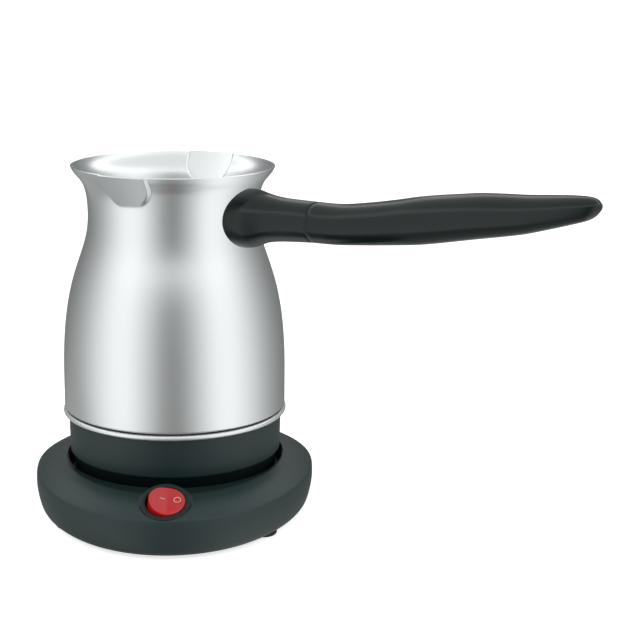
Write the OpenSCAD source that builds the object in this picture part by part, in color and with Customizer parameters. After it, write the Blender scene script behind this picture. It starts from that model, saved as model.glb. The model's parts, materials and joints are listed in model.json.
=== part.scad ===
// Electric Turkish coffee maker: a steel pot with a long handle on a cordless base.
// Origin on the pot's axis at table level, +Z up, the switch towards -Y.

/* [Pot] */
// Outer radius of the belly
belly_r = 53.4; // [52.5:0.1:56]
// Outer radius of the neck
neck_r = 40.1; // [39.5:0.1:42]
// Outer radius of the rim
rim_r = 47.9; // [46.5:0.1:50]
// Height of the vessel's bottom above the table
vessel_z = 50; // [49:0.5:55]
// Height of the straight part of the belly
belly_h = 16; // [10:0.5:20]
// Height of the narrowest place of the neck above the vessel's bottom
neck_h = 94.5; // [90:0.5:100]
// Height of the rim above the vessel's bottom
rim_h = 117.5; // [114:0.5:124]
// Thickness of the vessel's sheet steel
sheet_t = 0.8; // [0.5:0.1:1]
// Radius of the vessel's bottom corner
corner_r = 1.2; // [1.1:0.1:2]
// Radius of the half-round pouring lips
spout_r = 12.6; // [11:0.1:15]
// How deep a pouring lip reaches down from the rim
spout_depth = 15.5; // [13:0.5:18]
// How far a pouring lip stands out at the rim
spout_out = 2; // [1:0.1:4]
// Direction of the front pouring lip, from the handle
front_spout_turn = -82; // [-95:1:-75]
// Direction of the rear pouring lip, from the handle
rear_spout_turn = 103; // [85:1:115]

/* [Pot base] */
// Outer radius of the skirt at its top
skirt_r = 52; // [51.8:0.1:52.1]
// How much the skirt narrows down to its lower edge
skirt_draft = 0.4; // [0.2:0.1:1]
// Height of the skirt's lower edge above the base's seat
skirt_edge_h = 13; // [12.5:0.1:14.5]
// How far the foot steps in below the lower edge
foot_inset = 2.2; // [1.8:0.1:2.8]
// Wall of the skirt
skirt_wall = 2; // [1.6:0.1:2.4]
// Height of the underside of the skirt's floor above the base's seat
skirt_floor_h = 4; // [3.5:0.1:5]
// Radius of the bead of the trim ring
bead_r = 54.5; // [54.2:0.1:56]
// Height of the bead of the trim ring
bead_h = 2.4; // [2.1:0.1:2.8]
// Thickness of the trim ring's flat flange
ring_t = 1; // [0.8:0.1:1.4]
// Thickness of the seal under the vessel
seal_t = 0.7; // [0.5:0.1:1.2]

/* [Heating] */
// Radius of the aluminium heat plate
heat_plate_r = 36; // [34.5:0.5:37]
// Thickness of the heat plate
heat_plate_t = 3; // [2:0.1:3.6]
// Radius of the heating tube
tube_r = 3.2; // [2.8:0.1:3.4]
// Radius of the circle that the heating tube is bent to
element_r = 29.5; // [28.5:0.1:30.5]
// Radius of the thermostat's body
thermostat_r = 7.8; // [7:0.1:8.2]
// Height of the thermostat's body
thermostat_h = 6.5; // [5:0.1:7]
// Diameter of the thermal fuse
fuse_d = 4.2; // [3.4:0.1:4.6]

/* [Handle] */
// Direction of the handle about the pot's axis
handle_turn = -33.1; // [-60:0.1:-20]
// Height of the handle's root above the vessel's bottom
handle_h = 96.3; // [94:0.1:98]
// Distance of the joint between neck and grip from the pot's axis
seam_s = 80; // [76:0.5:86]
// Distance of the grip's tip from the pot's axis
tip_s = 215; // [205:0.5:225]
// Half width of the neck piece at the vessel
flange_r = 14.2; // [13:0.1:15]
// Rise of the grip's tip above the handle's root
tip_rise = 22; // [16:0.5:26]
// Radius of the threaded stud in the handle
stud_r = 2.5; // [2:0.1:2.6]
// Length of the threaded stud
stud_len = 56; // [50:0.5:64]

/* [Base] */
// Widest radius of the base
base_r = 68; // [67:0.1:71]
// How far the base reaches in front of the recess for the pot
front_room = 32.8; // [32.3:0.1:34.4]
// Height of the crease between the side and the top slope
crease_z = 20; // [19.6:0.1:20.4]
// Height of the inner edge of the base's top
base_top_z = 25.3; // [25:0.1:26.4]
// Wall of the base's shell
base_wall = 2.2; // [1.8:0.1:2.4]
// Height of the seat that the pot stands on
seat_z = 15; // [14.8:0.1:15.4]
// Thickness of the seat
seat_t = 2; // [1.6:0.1:2.2]
// Gap between the foot of the skirt and the wall round it
seat_gap = 3.3; // [2.7:0.1:3.5]
// Depth of the crescent ledge below the inner edge
ledge_drop = 1.5; // [1:0.1:2]
// Thickness of the bottom cover
cover_t = 2; // [1.6:0.1:2.4]
// Diameter of the rubber feet
foot_d = 13; // [11:0.1:14]
// How far the feet stand out below the cover
foot_h = 2; // [1.8:0.1:2.2]
// Diameter of the cord that the gland takes
cord_d = 6.8; // [6:0.1:7]

/* [Coupler] */
// Radius of the coupler's tower
tower_r = 17; // [16.6:0.1:17.4]
// Height of the tower above the seat
tower_h = 15; // [14:0.1:15.5]
// Radius of the middle of the neutral ring
neutral_r = 8.2; // [8:0.1:8.4]
// Radius of the middle of the earth ring
earth_r = 13.2; // [13:0.1:13.4]
// Thickness of the contact rings
blade_t = 1; // [0.8:0.1:1.2]
// Radius of the live pin
live_r = 2; // [1.8:0.1:2.2]

/* [Switch] */
// Diameter of the switch's bezel
bezel_d = 23; // [22.6:0.1:23.4]
// Thickness of the bezel's rim
bezel_t = 1.8; // [1.5:0.1:2]
// Diameter of the switch's body
switch_d = 20.2; // [20:0.1:20.4]
// Diameter of the rocker
rocker_d = 16.6; // [16:0.1:16.8]
// Tilt of the switch's face towards the front
switch_tilt = 27; // [25:0.5:29]
// Distance of the switch's face from the recess for the pot
switch_room = 22; // [21.5:0.1:22.3]
// Height of the switch's face above the inner edge of the base's top
switch_rise = 0.2; // [0:0.1:0.7]
// Tilt of the rocker to each side
rocker_tilt = 10; // [8:0.5:11]

/* [Fits] */
// Gap between pieces that are assembled by hand
fit = 0.3; // [0.2:0.05:0.4]
// Gap between pieces that are snapped or pushed together
snug = 0.1; // [0.05:0.01:0.15]
// Radial gap of a running fit
running = 0.05; // [0.02:0.01:0.09]

/* [Hidden] */

$fn = 96;
eps = 0.01;
egg_n = 72;
wire_n = 8;
// How far a cutting shape reaches past what it cuts
over = 1;

// Steel, plastic and metal colours
steel = [0.78, 0.79, 0.79];
charcoal = [0.16, 0.19, 0.19];
glossy = [0.13, 0.16, 0.16];
red = [0.78, 0.13, 0.15];
brass = [0.80, 0.65, 0.35];
aluminium = [0.72, 0.73, 0.75];
nylon = [0.85, 0.83, 0.76];
rubber = [0.10, 0.10, 0.11];

// ---- Heights and radii of the pot ----
neck_z = vessel_z + neck_h;
rim_z = vessel_z + rim_h;
belly_z = vessel_z + belly_h;
belly_pull = 0.68 * (neck_z - belly_z);
neck_pull = 0.28 * (neck_z - belly_z);
flare_pull = 0.82 * (rim_z - neck_z);
lip_pull = 0.31 * (rim_z - neck_z);
lip_lean = 20;
curve_n = 14;
arc_n = 5;
spout_z = rim_z - spout_depth;
spout_slope = (rim_r + spout_out - neck_r) / spout_depth;
spout_turns = [handle_turn + front_spout_turn, handle_turn + rear_spout_turn];
spout_root = 3;

seal_top = vessel_z;
ring_top = seal_top - seal_t;
ring_z = ring_top - ring_t;
bead_mid_z = ring_top - bead_h / 2;
bead_base_r = bead_r - bead_h / 2;
ring_inner_r = 46.5;

skirt_z = seat_z + running;
skirt_edge_z = seat_z + skirt_edge_h;
skirt_edge_r = skirt_r - skirt_draft;
skirt_edge_round = 0.8;
skirt_foot_r = skirt_edge_r - foot_inset;
skirt_floor_z = seat_z + skirt_floor_h;
skirt_floor_t = 2;
skirt_floor_top = skirt_floor_z + skirt_floor_t;
skirt_lip_r = ring_inner_r + 0.5;
skirt_lip_h = 2;

plate_z = vessel_z - heat_plate_t;
tube_end_r = tube_r + 0.12;
element_z = plate_z - tube_end_r - 0.03;
element_gap = 15;

post_at_r = 42;
post_r = 3.1;
post_len = 13;
post_end = 3;
post_z = vessel_z - post_len;
post_turns = [90, 210, 330];
screw_r = 1.5;
screw_head_r = 2.8;
screw_head_h = 1.6;
column_r = screw_head_r + fit + 1.5;
column_sink = 5;
skirt_screw_len = 20;

// Outer radius of the skirt's wall above its lower edge
function skirt_at(z) = skirt_r - skirt_draft * (ring_z - z) / (ring_z - skirt_edge_z);

// ---- Heat controls under the plate ----
thermostat_at_r = 15;
thermostat_turn = 100;
cap_wall = 0.5;
cap_flange_t = 1;
cap_depth = 4.5;
cap_r = thermostat_r + snug + cap_wall;
ear_x = cap_r + 4;
ear_r = 3.4;
disc_t = 0.3;
body_top = plate_z - cap_flange_t - disc_t - 2 * snug;
body_z = body_top - thermostat_h;
body_tab_x = 5;
body_tab_len = 3.4;
ear_screw_head_r = 2.4;
fuse_at_r = 15;
fuse_turn = -60;
fuse_len = 12;
clip_strap_t = 0.6;
fuse_z = plate_z - fuse_d / 2 - snug - clip_strap_t / 2;
fuse_clip_w = 5;
fuse_clip_end = 2.6;
fuse_screw_y = fuse_d / 2 + clip_strap_t + 3;
fuse_screw_head_r = 2.2;
earth_at_r = 20;
earth_at_turn = 20;
lug_t = 0.8;
lug_r = 3.6;
lug_tail_len = 3;
lug_tail_w = 3.2;
small_screw_len = 2.4;
cold_end_z = 33;
cold_pin_r = 1.2;
cold_pin_z = 28;
element_turns = [-90 - element_gap, -90 + element_gap];

// ---- Heights and radii of the base ----
cover_z = foot_h;
cover_top = cover_z + cover_t;
seat_under_z = seat_z - seat_t;
recess_r = skirt_foot_r + seat_gap;
recess_wall_r = recess_r + seat_t;
edge_r = base_r - 4;
front_reach = recess_r + front_room - base_r;
crease_r = base_r - 0.5;
lip_r = recess_r + 0.7;
lip_reach = 11.9;
ledge_z = base_top_z - ledge_drop;
// The slope from the crease up to the lip: shares of the radius, the front reach and the height
slope_shape = [[0.908, 0.982, 0.21], [0.667, 0.82, 0.53], [0.355, 0.465, 0.83]];
// Each ring: radius, extra reach in front, height
base_rings = concat(
    [
        [edge_r, front_reach, cover_z],
        [edge_r + 2, front_reach, cover_z + 2.4],
        [base_r - 0.7, front_reach, cover_z + 7],
        [base_r, front_reach, cover_z + 12],
        [base_r - 0.1, front_reach, crease_z - 1.6],
        [crease_r, front_reach, crease_z]
    ],
    [for (share = slope_shape) [
        lip_r + share[0] * (crease_r - lip_r),
        lip_reach + share[1] * (front_reach - lip_reach),
        crease_z + share[2] * (base_top_z - crease_z)
    ]],
    [[lip_r, lip_reach, base_top_z]]
);
// The same surface drawn in by the wall, open at the bottom
cavity_rings = concat(
    [[edge_r - base_wall, front_reach, cover_z - over]],
    [for (i = [1 : len(base_rings) - 1])
        let (
            ring = base_rings[i],
            before = base_rings[i - 1],
            after = base_rings[min(i + 1, len(base_rings) - 1)],
            dr = after[0] - before[0],
            dz = after[2] - before[2],
            away = norm([dr, dz])
        )
            [ring[0] - base_wall * dz / away, ring[1], ring[2] + base_wall * dr / away]]
);
// Each foot: how far in from the edge, direction
foot_spots = [[6.6, -40], [7.4, -148], [7.4, 45], [7.4, 135]];
foot_places = [for (spot = foot_spots) egg_at(edge_r - spot[0], front_reach, spot[1])];
foot_stem_r = 2.4;
foot_edge = 0.5;
foot_barb_h = 1.6;
cover_screw_places = [for (turn = [-30, -150, 33, 147]) (edge_r - 6.5) * [cos(turn), sin(turn)]];
cover_boss_r = 3.4;
cover_screw_len = 9;

// ---- Cord inlet ----
gland_z = 11.2;
gland_bore_r = cord_d / 2 + fit;
gland_body_r = gland_bore_r + 1.5;
gland_flange_r = gland_body_r + 1.2;
gland_flange_t = 1.6;
gland_seat_y = base_r - 0.8;
gland_wall = 2.2;
gland_out_y = gland_seat_y + gland_flange_t;
gland_in_y = gland_seat_y - gland_wall - gland_flange_t;

// ---- Terminal block under the seat ----
block_y = base_r - 26;
block_w = 25;
block_d = 12;
block_h = 7.5;
block_z = seat_under_z - block_h;
block_pitch = 8;
block_ways = [-block_pitch, 0, block_pitch];
block_well_r = 2;
block_screw_r = 1.2;
block_screw_in = 0.5;
block_rib_t = 2;

// ---- Coupler ----
tower_z = seat_z + tower_h;
plug_flange_r = 24;
plug_flange_t = 3;
plug_z = seat_under_z - plug_flange_t;
slot_play = 0.7;
clip_t = 0.5;
clip_w = 4;
clip_h = tower_h - 5;
clip_tail_z = 5.5;
slot_floor_z = plug_z + 7;
neutral_turn = 150;
earth_turn = 30;
coupler_screw_turns = [90, 210, 330];
coupler_screw_at_r = 20.7;
coupler_screw_r = screw_r - 0.25;
coupler_head_r = 2.3;
coupler_head_h = 1.4;

// ---- Socket under the pot ----
socket_roof_z = tower_z + 1;
socket_roof_t = 3;
socket_top = socket_roof_z + socket_roof_t;
socket_cavity_r = tower_r + 0.6;
socket_wall = 3;
socket_out_r = socket_cavity_r + socket_wall;
socket_flange_r = socket_cavity_r + 9.4;
socket_flange_t = 2.5;
socket_screw_turns = [90, 210, 330];
socket_screw_at_r = socket_cavity_r + 6.2;
blade_z = seat_z + 7;
blade_seat = 1.2;
pin_z = blade_z - 0.5;
pin_point_h = 1;
tab_w = 4.8;
tab_t = 0.8;
socket_tab_top = socket_top + 3.4;

// ---- Switch, in its own frame: origin at the face, +Z outwards, +Y up the slope ----
switch_y = recess_r + switch_room;
switch_z = base_top_z + switch_rise;
panel_t = 2.4;
bezel_edge = 0.5;
boss_r = bezel_d / 2 + 1.1;
boss_depth = 9;
boss_bore_r = switch_d / 2 + 0.8;
switch_hole_r = switch_d / 2 + fit / 2;
switch_depth = 13;
switch_wall = 1.1;
switch_floor_t = 1.6;
switch_cavity_r = switch_d / 2 - switch_wall;
latch_w = 5;
latch_t = 2.8;
latch_h = 3;
latch_x = switch_d / 2 - 1;
pivot_drop = 3.2;
stub_r = 1.2;
stub_end = switch_cavity_r + 0.5;
stub_hole_end = stub_end + 0.2;
arm_top = -8.5;
arm_t = 0.4;
arm_half = 6;
arm_w = 3;
arm_tilt = 6;
contact_x = 5;
contact_r = 1;
contact_t = 0.5;
arm_pivot_z = arm_top - arm_t;
terminal_x = 6;
terminal_t = 0.8;
fixed_top = arm_pivot_z - (contact_x + contact_r) * sin(arm_tilt) - contact_t * cos(arm_tilt) - running;
tail_z = -21;

// ---- Rocker, in its own frame: origin at the pivot, +Z out of its face ----
rocker_mid_h = pivot_drop + 0.6;
rocker_end_h = pivot_drop + 2;
rocker_foot = 1.4;
rocker_skin = 1.2;
rocker_swing_r = norm([rocker_d / 2 - 0.6, rocker_end_h]);
stem_r = 2;
stem_foot = 3;
plunger_r = 1.2;
plunger_reach = 5.2;
spring_r = 0.9;
spring_wire = 0.35;
spring_low = -1.6;
spring_top = 1.8;
stand_x = 2.9;
stand_t = 0.8;
stand_w = 3;
lamp_r = 1.4;
lamp_x = 4.9;
lamp_half = 3;

// ---- Wires ----
wire_r = 1.2;
pot_wire_r = 0.9;
block_wire_in = 1;
blade_wire_z = -17.5;
blade_wire_out = 3;
// Where the wires turn up to the switch
wire_turn_y = -(switch_y - 16.7);
block_wire_z = block_z + block_h / 2;
socket_wire_z = socket_top + 2;
body_wire_z = body_z - body_tab_len + 1;
cold_wire_z = cold_pin_z + 2.5;
// Routes between the terminal block, the switch's blades and the coupler's tails
live_route = concat(
    at_block(0),
    [[-0.6, block_y - 10, 8.2], [-3, block_y - 20, 6.4], [-4.2, 6, 5.9], [-4, -14, 5.9],
     [-2, -34, 6.2], [0, wire_turn_y + 10, 7], [0, wire_turn_y, 8.6]],
    at_blade(0)
);
switched_route = concat(
    reversed(at_blade(terminal_x)),
    [[6, wire_turn_y, 8.6], [5.6, wire_turn_y + 12, 7], [4.8, -28, 6.2], [4.6, -12, 5.9],
     [4.2, -3, 6.6], [2.6, 0, 7], [tab_t / 2 + snug, 0, 7]]
);
neutral_route = concat(
    at_block(-block_pitch),
    [[-8.4, block_y - 10, 8.4], [-9, block_y - 20, 6.8], [-9.4, 12, 6.6], [-9.2, 6.4, 6.8]]
);
lamp_route = concat(
    reversed(at_blade(-terminal_x)),
    [[-6.4, wire_turn_y, 8.6], [-8, wire_turn_y + 14, 7], [-10.4, -24, 6.2],
     [-10.6, -8, 6.2], [-9, 1.6, 6.8]]
);
earth_route = concat(
    at_block(block_pitch),
    [[8.4, block_y - 10, 8.4], [11, block_y - 20, 6.8], [13.6, 13, 6.8], [13.6, 8.8, 6.8]]
);
// Routes between socket, thermostat, fuse, heating tube and earth lug
pot_wire_routes = [
    [[0, 3.2, socket_wire_z], [2.4, 6, socket_wire_z + 0.2], [3, 10, body_wire_z]],
    [[-8.15, 13.8, body_wire_z], [-10.5, 13.2, body_wire_z], [-15, 7, 37.4], [-19, -2, 39],
     [-16, -13, 42.4], [-6, -17.6, 44.2], [1, -17, fuse_z]],
    [[13.8, -9.3, fuse_z], [19, -10, 42], [22, -16, 37], [17, -23, 33], [10.5, -27.2, cold_wire_z]],
    [[-9.2, 1.6, socket_wire_z], [-14, -6, 35.6], [-17, -16, 34.6], [-14.5, -23.6, 32.6],
     [-10.2, -27.4, cold_wire_z]],
    [[12.8, 8.8, socket_wire_z + 0.4], [15, 10, 39], [15, 8, 43], [14, 5.6, plate_z - 2]]
];

// ---- Handle, along its own +X ----
root_z = vessel_z + handle_h;
stud_z = root_z + 1;
root_r = wall_r(stud_z);
stud_s = root_r + 4;
bracket_r = 9;
bracket_t = 1.4;
// How far the bracket's plate stands out where the vessel is widest behind it
bracket_out_r = bracket_t + max(wall_r(stud_z - bracket_r), wall_r(stud_z + bracket_r));
bracket_play = 0.8;
bracket_boss_r = 4.5;
bracket_boss_len = 12;
insert_r = 4.4;
insert_len = 16;
seam_gap = 0.3;
handle_n = 24;
// How much slimmer the neck piece is at the seam than at the vessel, and how much higher
slim = 4.8;
seam_rise = 1.6;
// Each station: distance, height, half width, half height
neck_stations = [
    [root_r - 6, root_z - 0.3, flange_r, flange_r - 0.3],
    [root_r + 4.5, root_z - 0.1, flange_r, flange_r - 0.3],
    [root_r + 8, root_z + 0.1, flange_r - 0.5, flange_r - 0.8],
    [root_r + 11, root_z + 0.4, flange_r - 1.4, flange_r - 1.8],
    [root_r + 14, root_z + 0.7, flange_r - 2.4, flange_r - 2.7],
    [root_r + 18, root_z + 0.9, flange_r - 3.4, flange_r - 3.5],
    [root_r + 25, root_z + 1.1, flange_r - 4.3, flange_r - 4.2],
    [seam_s - seam_gap / 2, root_z + seam_rise, flange_r - slim, flange_r - slim]
];
// Each station: share of the length, share of the rise, half width, half height
grip_shape = [
    [0, 0, 9.4, 9.4], [0.1, 0.02, 9.5, 9.3], [0.2, 0.1, 9.9, 9.6], [0.3, 0.2, 10.3, 10.1],
    [0.38, 0.29, 10.7, 10.6], [0.45, 0.37, 10.9, 10.6], [0.52, 0.45, 10.9, 10.3],
    [0.6, 0.54, 10.7, 9.9], [0.68, 0.61, 10.3, 9.2], [0.76, 0.68, 9.7, 8.3],
    [0.84, 0.78, 8.9, 7.2], [0.91, 0.87, 7.7, 6], [0.96, 0.94, 5.9, 4.6],
    [0.985, 0.98, 4, 3], [1, 1, 1.6, 1.1]
];
grip_size = (flange_r - slim) / grip_shape[0][2];
grip_start = seam_s + seam_gap / 2;
grip_stations = [
    for (g = grip_shape) [
        grip_start + g[0] * (tip_s - grip_start),
        root_z + seam_rise + g[1] * (tip_rise - seam_rise),
        g[2] * grip_size,
        g[3] * grip_size
    ]
];

// ==== Shared shapes ====

function bezier(a, b, c, d, n) = [
    for (i = [1 : n]) let (t = i / n, u = 1 - t)
        u * u * u * a + 3 * u * u * t * b + 3 * u * t * t * c + t * t * t * d
];

// Outline of the vessel from the bottom's middle to the rim, drawn in by off
function vessel_outline(off) = concat(
    [[0, vessel_z + off]],
    [for (i = [0 : arc_n]) let (a = -90 + 90 * i / arc_n)
        [belly_r - corner_r, vessel_z + corner_r] + (corner_r - off) * [cos(a), sin(a)]],
    [[belly_r - off, belly_z]],
    bezier([belly_r - off, belly_z], [belly_r - off, belly_z + belly_pull],
           [neck_r - off, neck_z - neck_pull], [neck_r - off, neck_z], curve_n),
    bezier([neck_r - off, neck_z], [neck_r - off, neck_z + flare_pull],
           [rim_r - off, rim_z] - lip_pull * [sin(lip_lean), cos(lip_lean)],
           [rim_r - off, rim_z], curve_n)
);

// Outer radius of the vessel at a height
function wall_r(z) = lookup(z, [for (p = vessel_outline(0)) [p[1], p[0]]]);

// The vessel as a full solid, drawn in by off and raised above the rim by rise
module vessel_form(off, rise) {
    rotate_extrude()
        polygon(concat(vessel_outline(off), [[rim_r - off, rim_z + rise + eps], [0, rim_z + rise + eps]]));
    for (turn = spout_turns) rotate([0, 0, turn]) intersection() {
        rotate_extrude() polygon([
            [0, spout_z - spout_root],
            [neck_r - off - spout_root * spout_slope, spout_z - spout_root],
            [neck_r - off + (spout_depth + rise) * spout_slope, rim_z + rise],
            [0, rim_z + rise]
        ]);
        translate([0, 0, spout_z + spout_r]) {
            rotate([0, 90, 0]) cylinder(r = spout_r - off, h = 2 * rim_r);
            translate([0, -(spout_r - off), 0]) cube([2 * rim_r, 2 * (spout_r - off), spout_r]);
        }
    }
}

// The base's plan: a circle behind, stretched in front
function egg_at(r, reach, turn) = [r * cos(turn), (sin(turn) < 0 ? r + reach : r) * sin(turn)];

function egg(r, reach) = [for (i = [0 : egg_n - 1]) egg_at(r, reach, 360 * i / egg_n)];

// Faces of a solid through m rings of n points each
function loft_faces(m, n) = concat(
    [[for (i = [0 : n - 1]) i]],
    [for (k = [0 : m - 2], i = [0 : n - 1]) let (a = k * n + i, b = k * n + (i + 1) % n)
        each [[a, a + n, b + n], [a, b + n, b]]],
    [[for (i = [n - 1 : -1 : 0]) (m - 1) * n + i]]
);

// Solid through a stack of such rings
module egg_loft(rings) {
    points = [for (ring = rings, p = egg(ring[0], ring[1])) [p[0], p[1], ring[2]]];
    polyhedron(points, loft_faces(len(rings), egg_n));
}

// Sweep of ellipses that stand across +X; each station: place, height, half width, half height
module handle_sweep(stations) {
    n = handle_n;
    points = [
        for (st = stations, i = [0 : n - 1]) let (a = 360 * i / n)
            [st[0], st[2] * cos(a), st[1] + st[3] * sin(a)]
    ];
    polyhedron(points, loft_faces(len(stations), n));
}

function unit(v) = v / norm(v);

// Round wire through a list of points
module wire(route, r = wire_r) {
    n = wire_n;
    m = len(route);
    dirs = [
        for (i = [0 : m - 1])
            unit((i < m - 1 ? unit(route[i + 1] - route[i]) : [0, 0, 0])
                 + (i > 0 ? unit(route[i] - route[i - 1]) : [0, 0, 0]))
    ];
    side0 = [for (d = dirs) unit(cross(abs(d[2]) > 0.9 ? [0, 1, 0] : [0, 0, 1], d))];
    points = [
        for (i = [0 : m - 1], k = [0 : n - 1])
            let (a = 360 * (k + 0.5) / n, s = side0[i], u = cross(dirs[i], s))
                route[i] + r * (cos(a) * s + sin(a) * u)
    ];
    polyhedron(points, loft_faces(m, n));
}

// Pan-head screw, head down at z = 0 and shank up to len
module screw_up(len, r = screw_r, head_r = screw_head_r, head_h = screw_head_h) {
    difference() {
        union() {
            cylinder(r = head_r, h = head_h);
            cylinder(r = r, h = len);
        }
        for (turn = [0, 90]) rotate([0, 0, turn])
            translate([-head_r * 0.6, -head_r * 0.12, -over])
                cube([head_r * 1.2, head_r * 0.24, over + head_h / 2]);
    }
}

module screw_down(len, r = screw_r, head_r = screw_head_r, head_h = screw_head_h) {
    mirror([0, 0, 1]) screw_up(len, r, head_r, head_h);
}

module tube(outer_r, inner_r, h) {
    difference() {
        cylinder(r = outer_r, h = h);
        translate([0, 0, -over]) cylinder(r = inner_r, h = h + 2 * over);
    }
}

module around(turns, r) {
    for (turn = turns) rotate([0, 0, turn]) translate([r, 0, 0]) children();
}

module at_switch() {
    translate([0, -switch_y, switch_z]) rotate([switch_tilt, 0, 0]) children();
}

function switch_point(p) = [
    p[0],
    -switch_y + p[1] * cos(switch_tilt) - p[2] * sin(switch_tilt),
    switch_z + p[1] * sin(switch_tilt) + p[2] * cos(switch_tilt)
];

// A bar across the switch, this far to both sides
module across(half) {
    rotate([90, 0, 0]) translate([0, 0, -half]) children();
}

module along_handle() {
    rotate([0, 0, handle_turn]) children();
}

// ==== Base ====

module cord_axis() {
    translate([0, 0, gland_z]) rotate([-90, 0, 0]) children();
}

module base_shell_hollow() {
    difference() {
        egg_loft(cavity_rings);
        translate([0, 0, seat_under_z]) cylinder(r = recess_wall_r, h = base_top_z);
        egg_loft([
            [lip_r + base_wall, lip_reach, ledge_z - base_wall],
            [lip_r + base_wall, lip_reach, base_top_z]
        ]);
        for (p = cover_screw_places)
            translate([p[0], p[1], cover_top]) cylinder(r = cover_boss_r, h = base_top_z);
        for (side = [-1, 1])
            translate([side * (block_w / 2 + snug + block_rib_t / 2) - block_rib_t / 2,
                       block_y - block_d / 2, block_z])
                cube([block_rib_t, block_d, seat_z - block_z]);
    }
}

module base_shell() {
    color(charcoal) difference() {
        union() {
            difference() {
                egg_loft(base_rings);
                base_shell_hollow();
            }
            at_switch() translate([0, 0, -boss_depth]) cylinder(r = boss_r, h = boss_depth - bezel_t);
        }
        translate([0, 0, seat_z]) cylinder(r = recess_r, h = base_top_z);
        egg_loft([
            [recess_r - fit, lip_reach, ledge_z],
            [recess_r - fit, lip_reach, base_top_z + over]
        ]);
        translate([0, 0, seat_under_z - over]) cylinder(r = tower_r + fit, h = seat_t + 2 * over);
        around(coupler_screw_turns, coupler_screw_at_r)
            translate([0, 0, seat_under_z - over])
                cylinder(r = coupler_screw_r + running, h = seat_t + 2 * over);
        for (p = cover_screw_places)
            translate([p[0], p[1], cover_z]) cylinder(r = screw_r + running, h = cover_screw_len + over);
        cord_axis() {
            translate([0, 0, gland_in_y - fit]) cylinder(r = gland_body_r + snug, h = base_r);
            translate([0, 0, gland_seat_y]) cylinder(r = gland_flange_r + fit, h = base_r);
            translate([0, 0, gland_in_y - fit])
                cylinder(r = gland_flange_r + fit, h = gland_flange_t + fit);
        }
        at_switch() {
            translate([0, 0, -bezel_t]) cylinder(r = bezel_d / 2 + fit / 2, h = 3 * bezel_t);
            translate([0, 0, -switch_depth]) cylinder(r = switch_hole_r, h = switch_depth);
            translate([0, 0, -switch_depth - 2 * over])
                cylinder(r = boss_bore_r, h = switch_depth + 2 * over - bezel_t - panel_t);
        }
    }
}

module base_cover() {
    color(charcoal) difference() {
        egg_loft([
            [edge_r - base_wall - fit, front_reach, cover_z],
            [edge_r - base_wall - fit, front_reach, cover_top]
        ]);
        for (p = foot_places)
            translate([p[0], p[1], 0]) cylinder(r = foot_stem_r + snug, h = cover_top + over);
        for (p = cover_screw_places)
            translate([p[0], p[1], 0]) cylinder(r = screw_r + fit / 2, h = cover_top + over);
    }
}

module base_feet() {
    color(rubber) for (p = foot_places) translate([p[0], p[1], 0]) {
        cylinder(r1 = foot_d / 2 - foot_edge, r2 = foot_d / 2, h = foot_h / 3);
        translate([0, 0, foot_h / 3]) cylinder(r = foot_d / 2, h = foot_h * 2 / 3);
        cylinder(r = foot_stem_r, h = cover_top + foot_barb_h / 4);
        translate([0, 0, cover_top])
            cylinder(r1 = foot_stem_r * 4 / 3, r2 = foot_stem_r * 5 / 6, h = foot_barb_h);
    }
}

module cover_screws() {
    color(steel) for (p = cover_screw_places)
        translate([p[0], p[1], cover_z - screw_head_h]) screw_up(screw_head_h + cover_screw_len);
}

module cord_gland() {
    color(rubber) cord_axis() difference() {
        union() {
            translate([0, 0, gland_in_y])
                cylinder(r = gland_body_r, h = gland_out_y - gland_in_y);
            translate([0, 0, gland_in_y]) cylinder(r = gland_flange_r, h = gland_flange_t);
            translate([0, 0, gland_seat_y]) cylinder(r = gland_flange_r, h = gland_flange_t);
        }
        translate([0, 0, gland_in_y - over])
            cylinder(r = gland_bore_r, h = gland_out_y - gland_in_y + 2 * over);
    }
}

module terminal_block() {
    color(nylon) difference() {
        translate([-block_w / 2, block_y - block_d / 2, block_z]) cube([block_w, block_d, block_h]);
        for (x = block_ways) {
            translate([x, block_y - block_d, block_z + block_h / 2])
                rotate([-90, 0, 0]) cylinder(r = wire_r + snug, h = 2 * block_d);
            for (side = [-1, 1]) translate([x, block_y + side * block_d / 4, block_z - over])
                cylinder(r = block_well_r, h = block_h / 2 + over);
        }
    }
}

module block_screws() {
    color(brass) for (x = block_ways, side = [-1, 1])
        translate([x, block_y + side * block_d / 4, block_z + block_screw_in])
            screw_up(block_h / 2 - block_screw_in - wire_r - snug, block_screw_r, block_well_r - snug, 1);
}

module clip_tail(turn, r, w) {
    rotate([0, 0, turn]) translate([r - tab_t / 2, -w / 2, clip_tail_z])
        cube([tab_t, w, slot_floor_z - clip_tail_z + over]);
}

module clip_tail_hole(turn, r, w) {
    rotate([0, 0, turn]) translate([r - tab_t / 2 - snug, -w / 2 - snug, plug_z - over])
        cube([tab_t + 2 * snug, w + 2 * snug, slot_floor_z - plug_z + 2 * over]);
}

function clip_in_r(ring_r) = ring_r + blade_t / 2 + running;

module ring_slot(ring_r) {
    translate([0, 0, slot_floor_z])
        tube(clip_in_r(ring_r) + clip_t + 2 * snug, ring_r - blade_t / 2 - slot_play, tower_h + seat_z);
}

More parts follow.
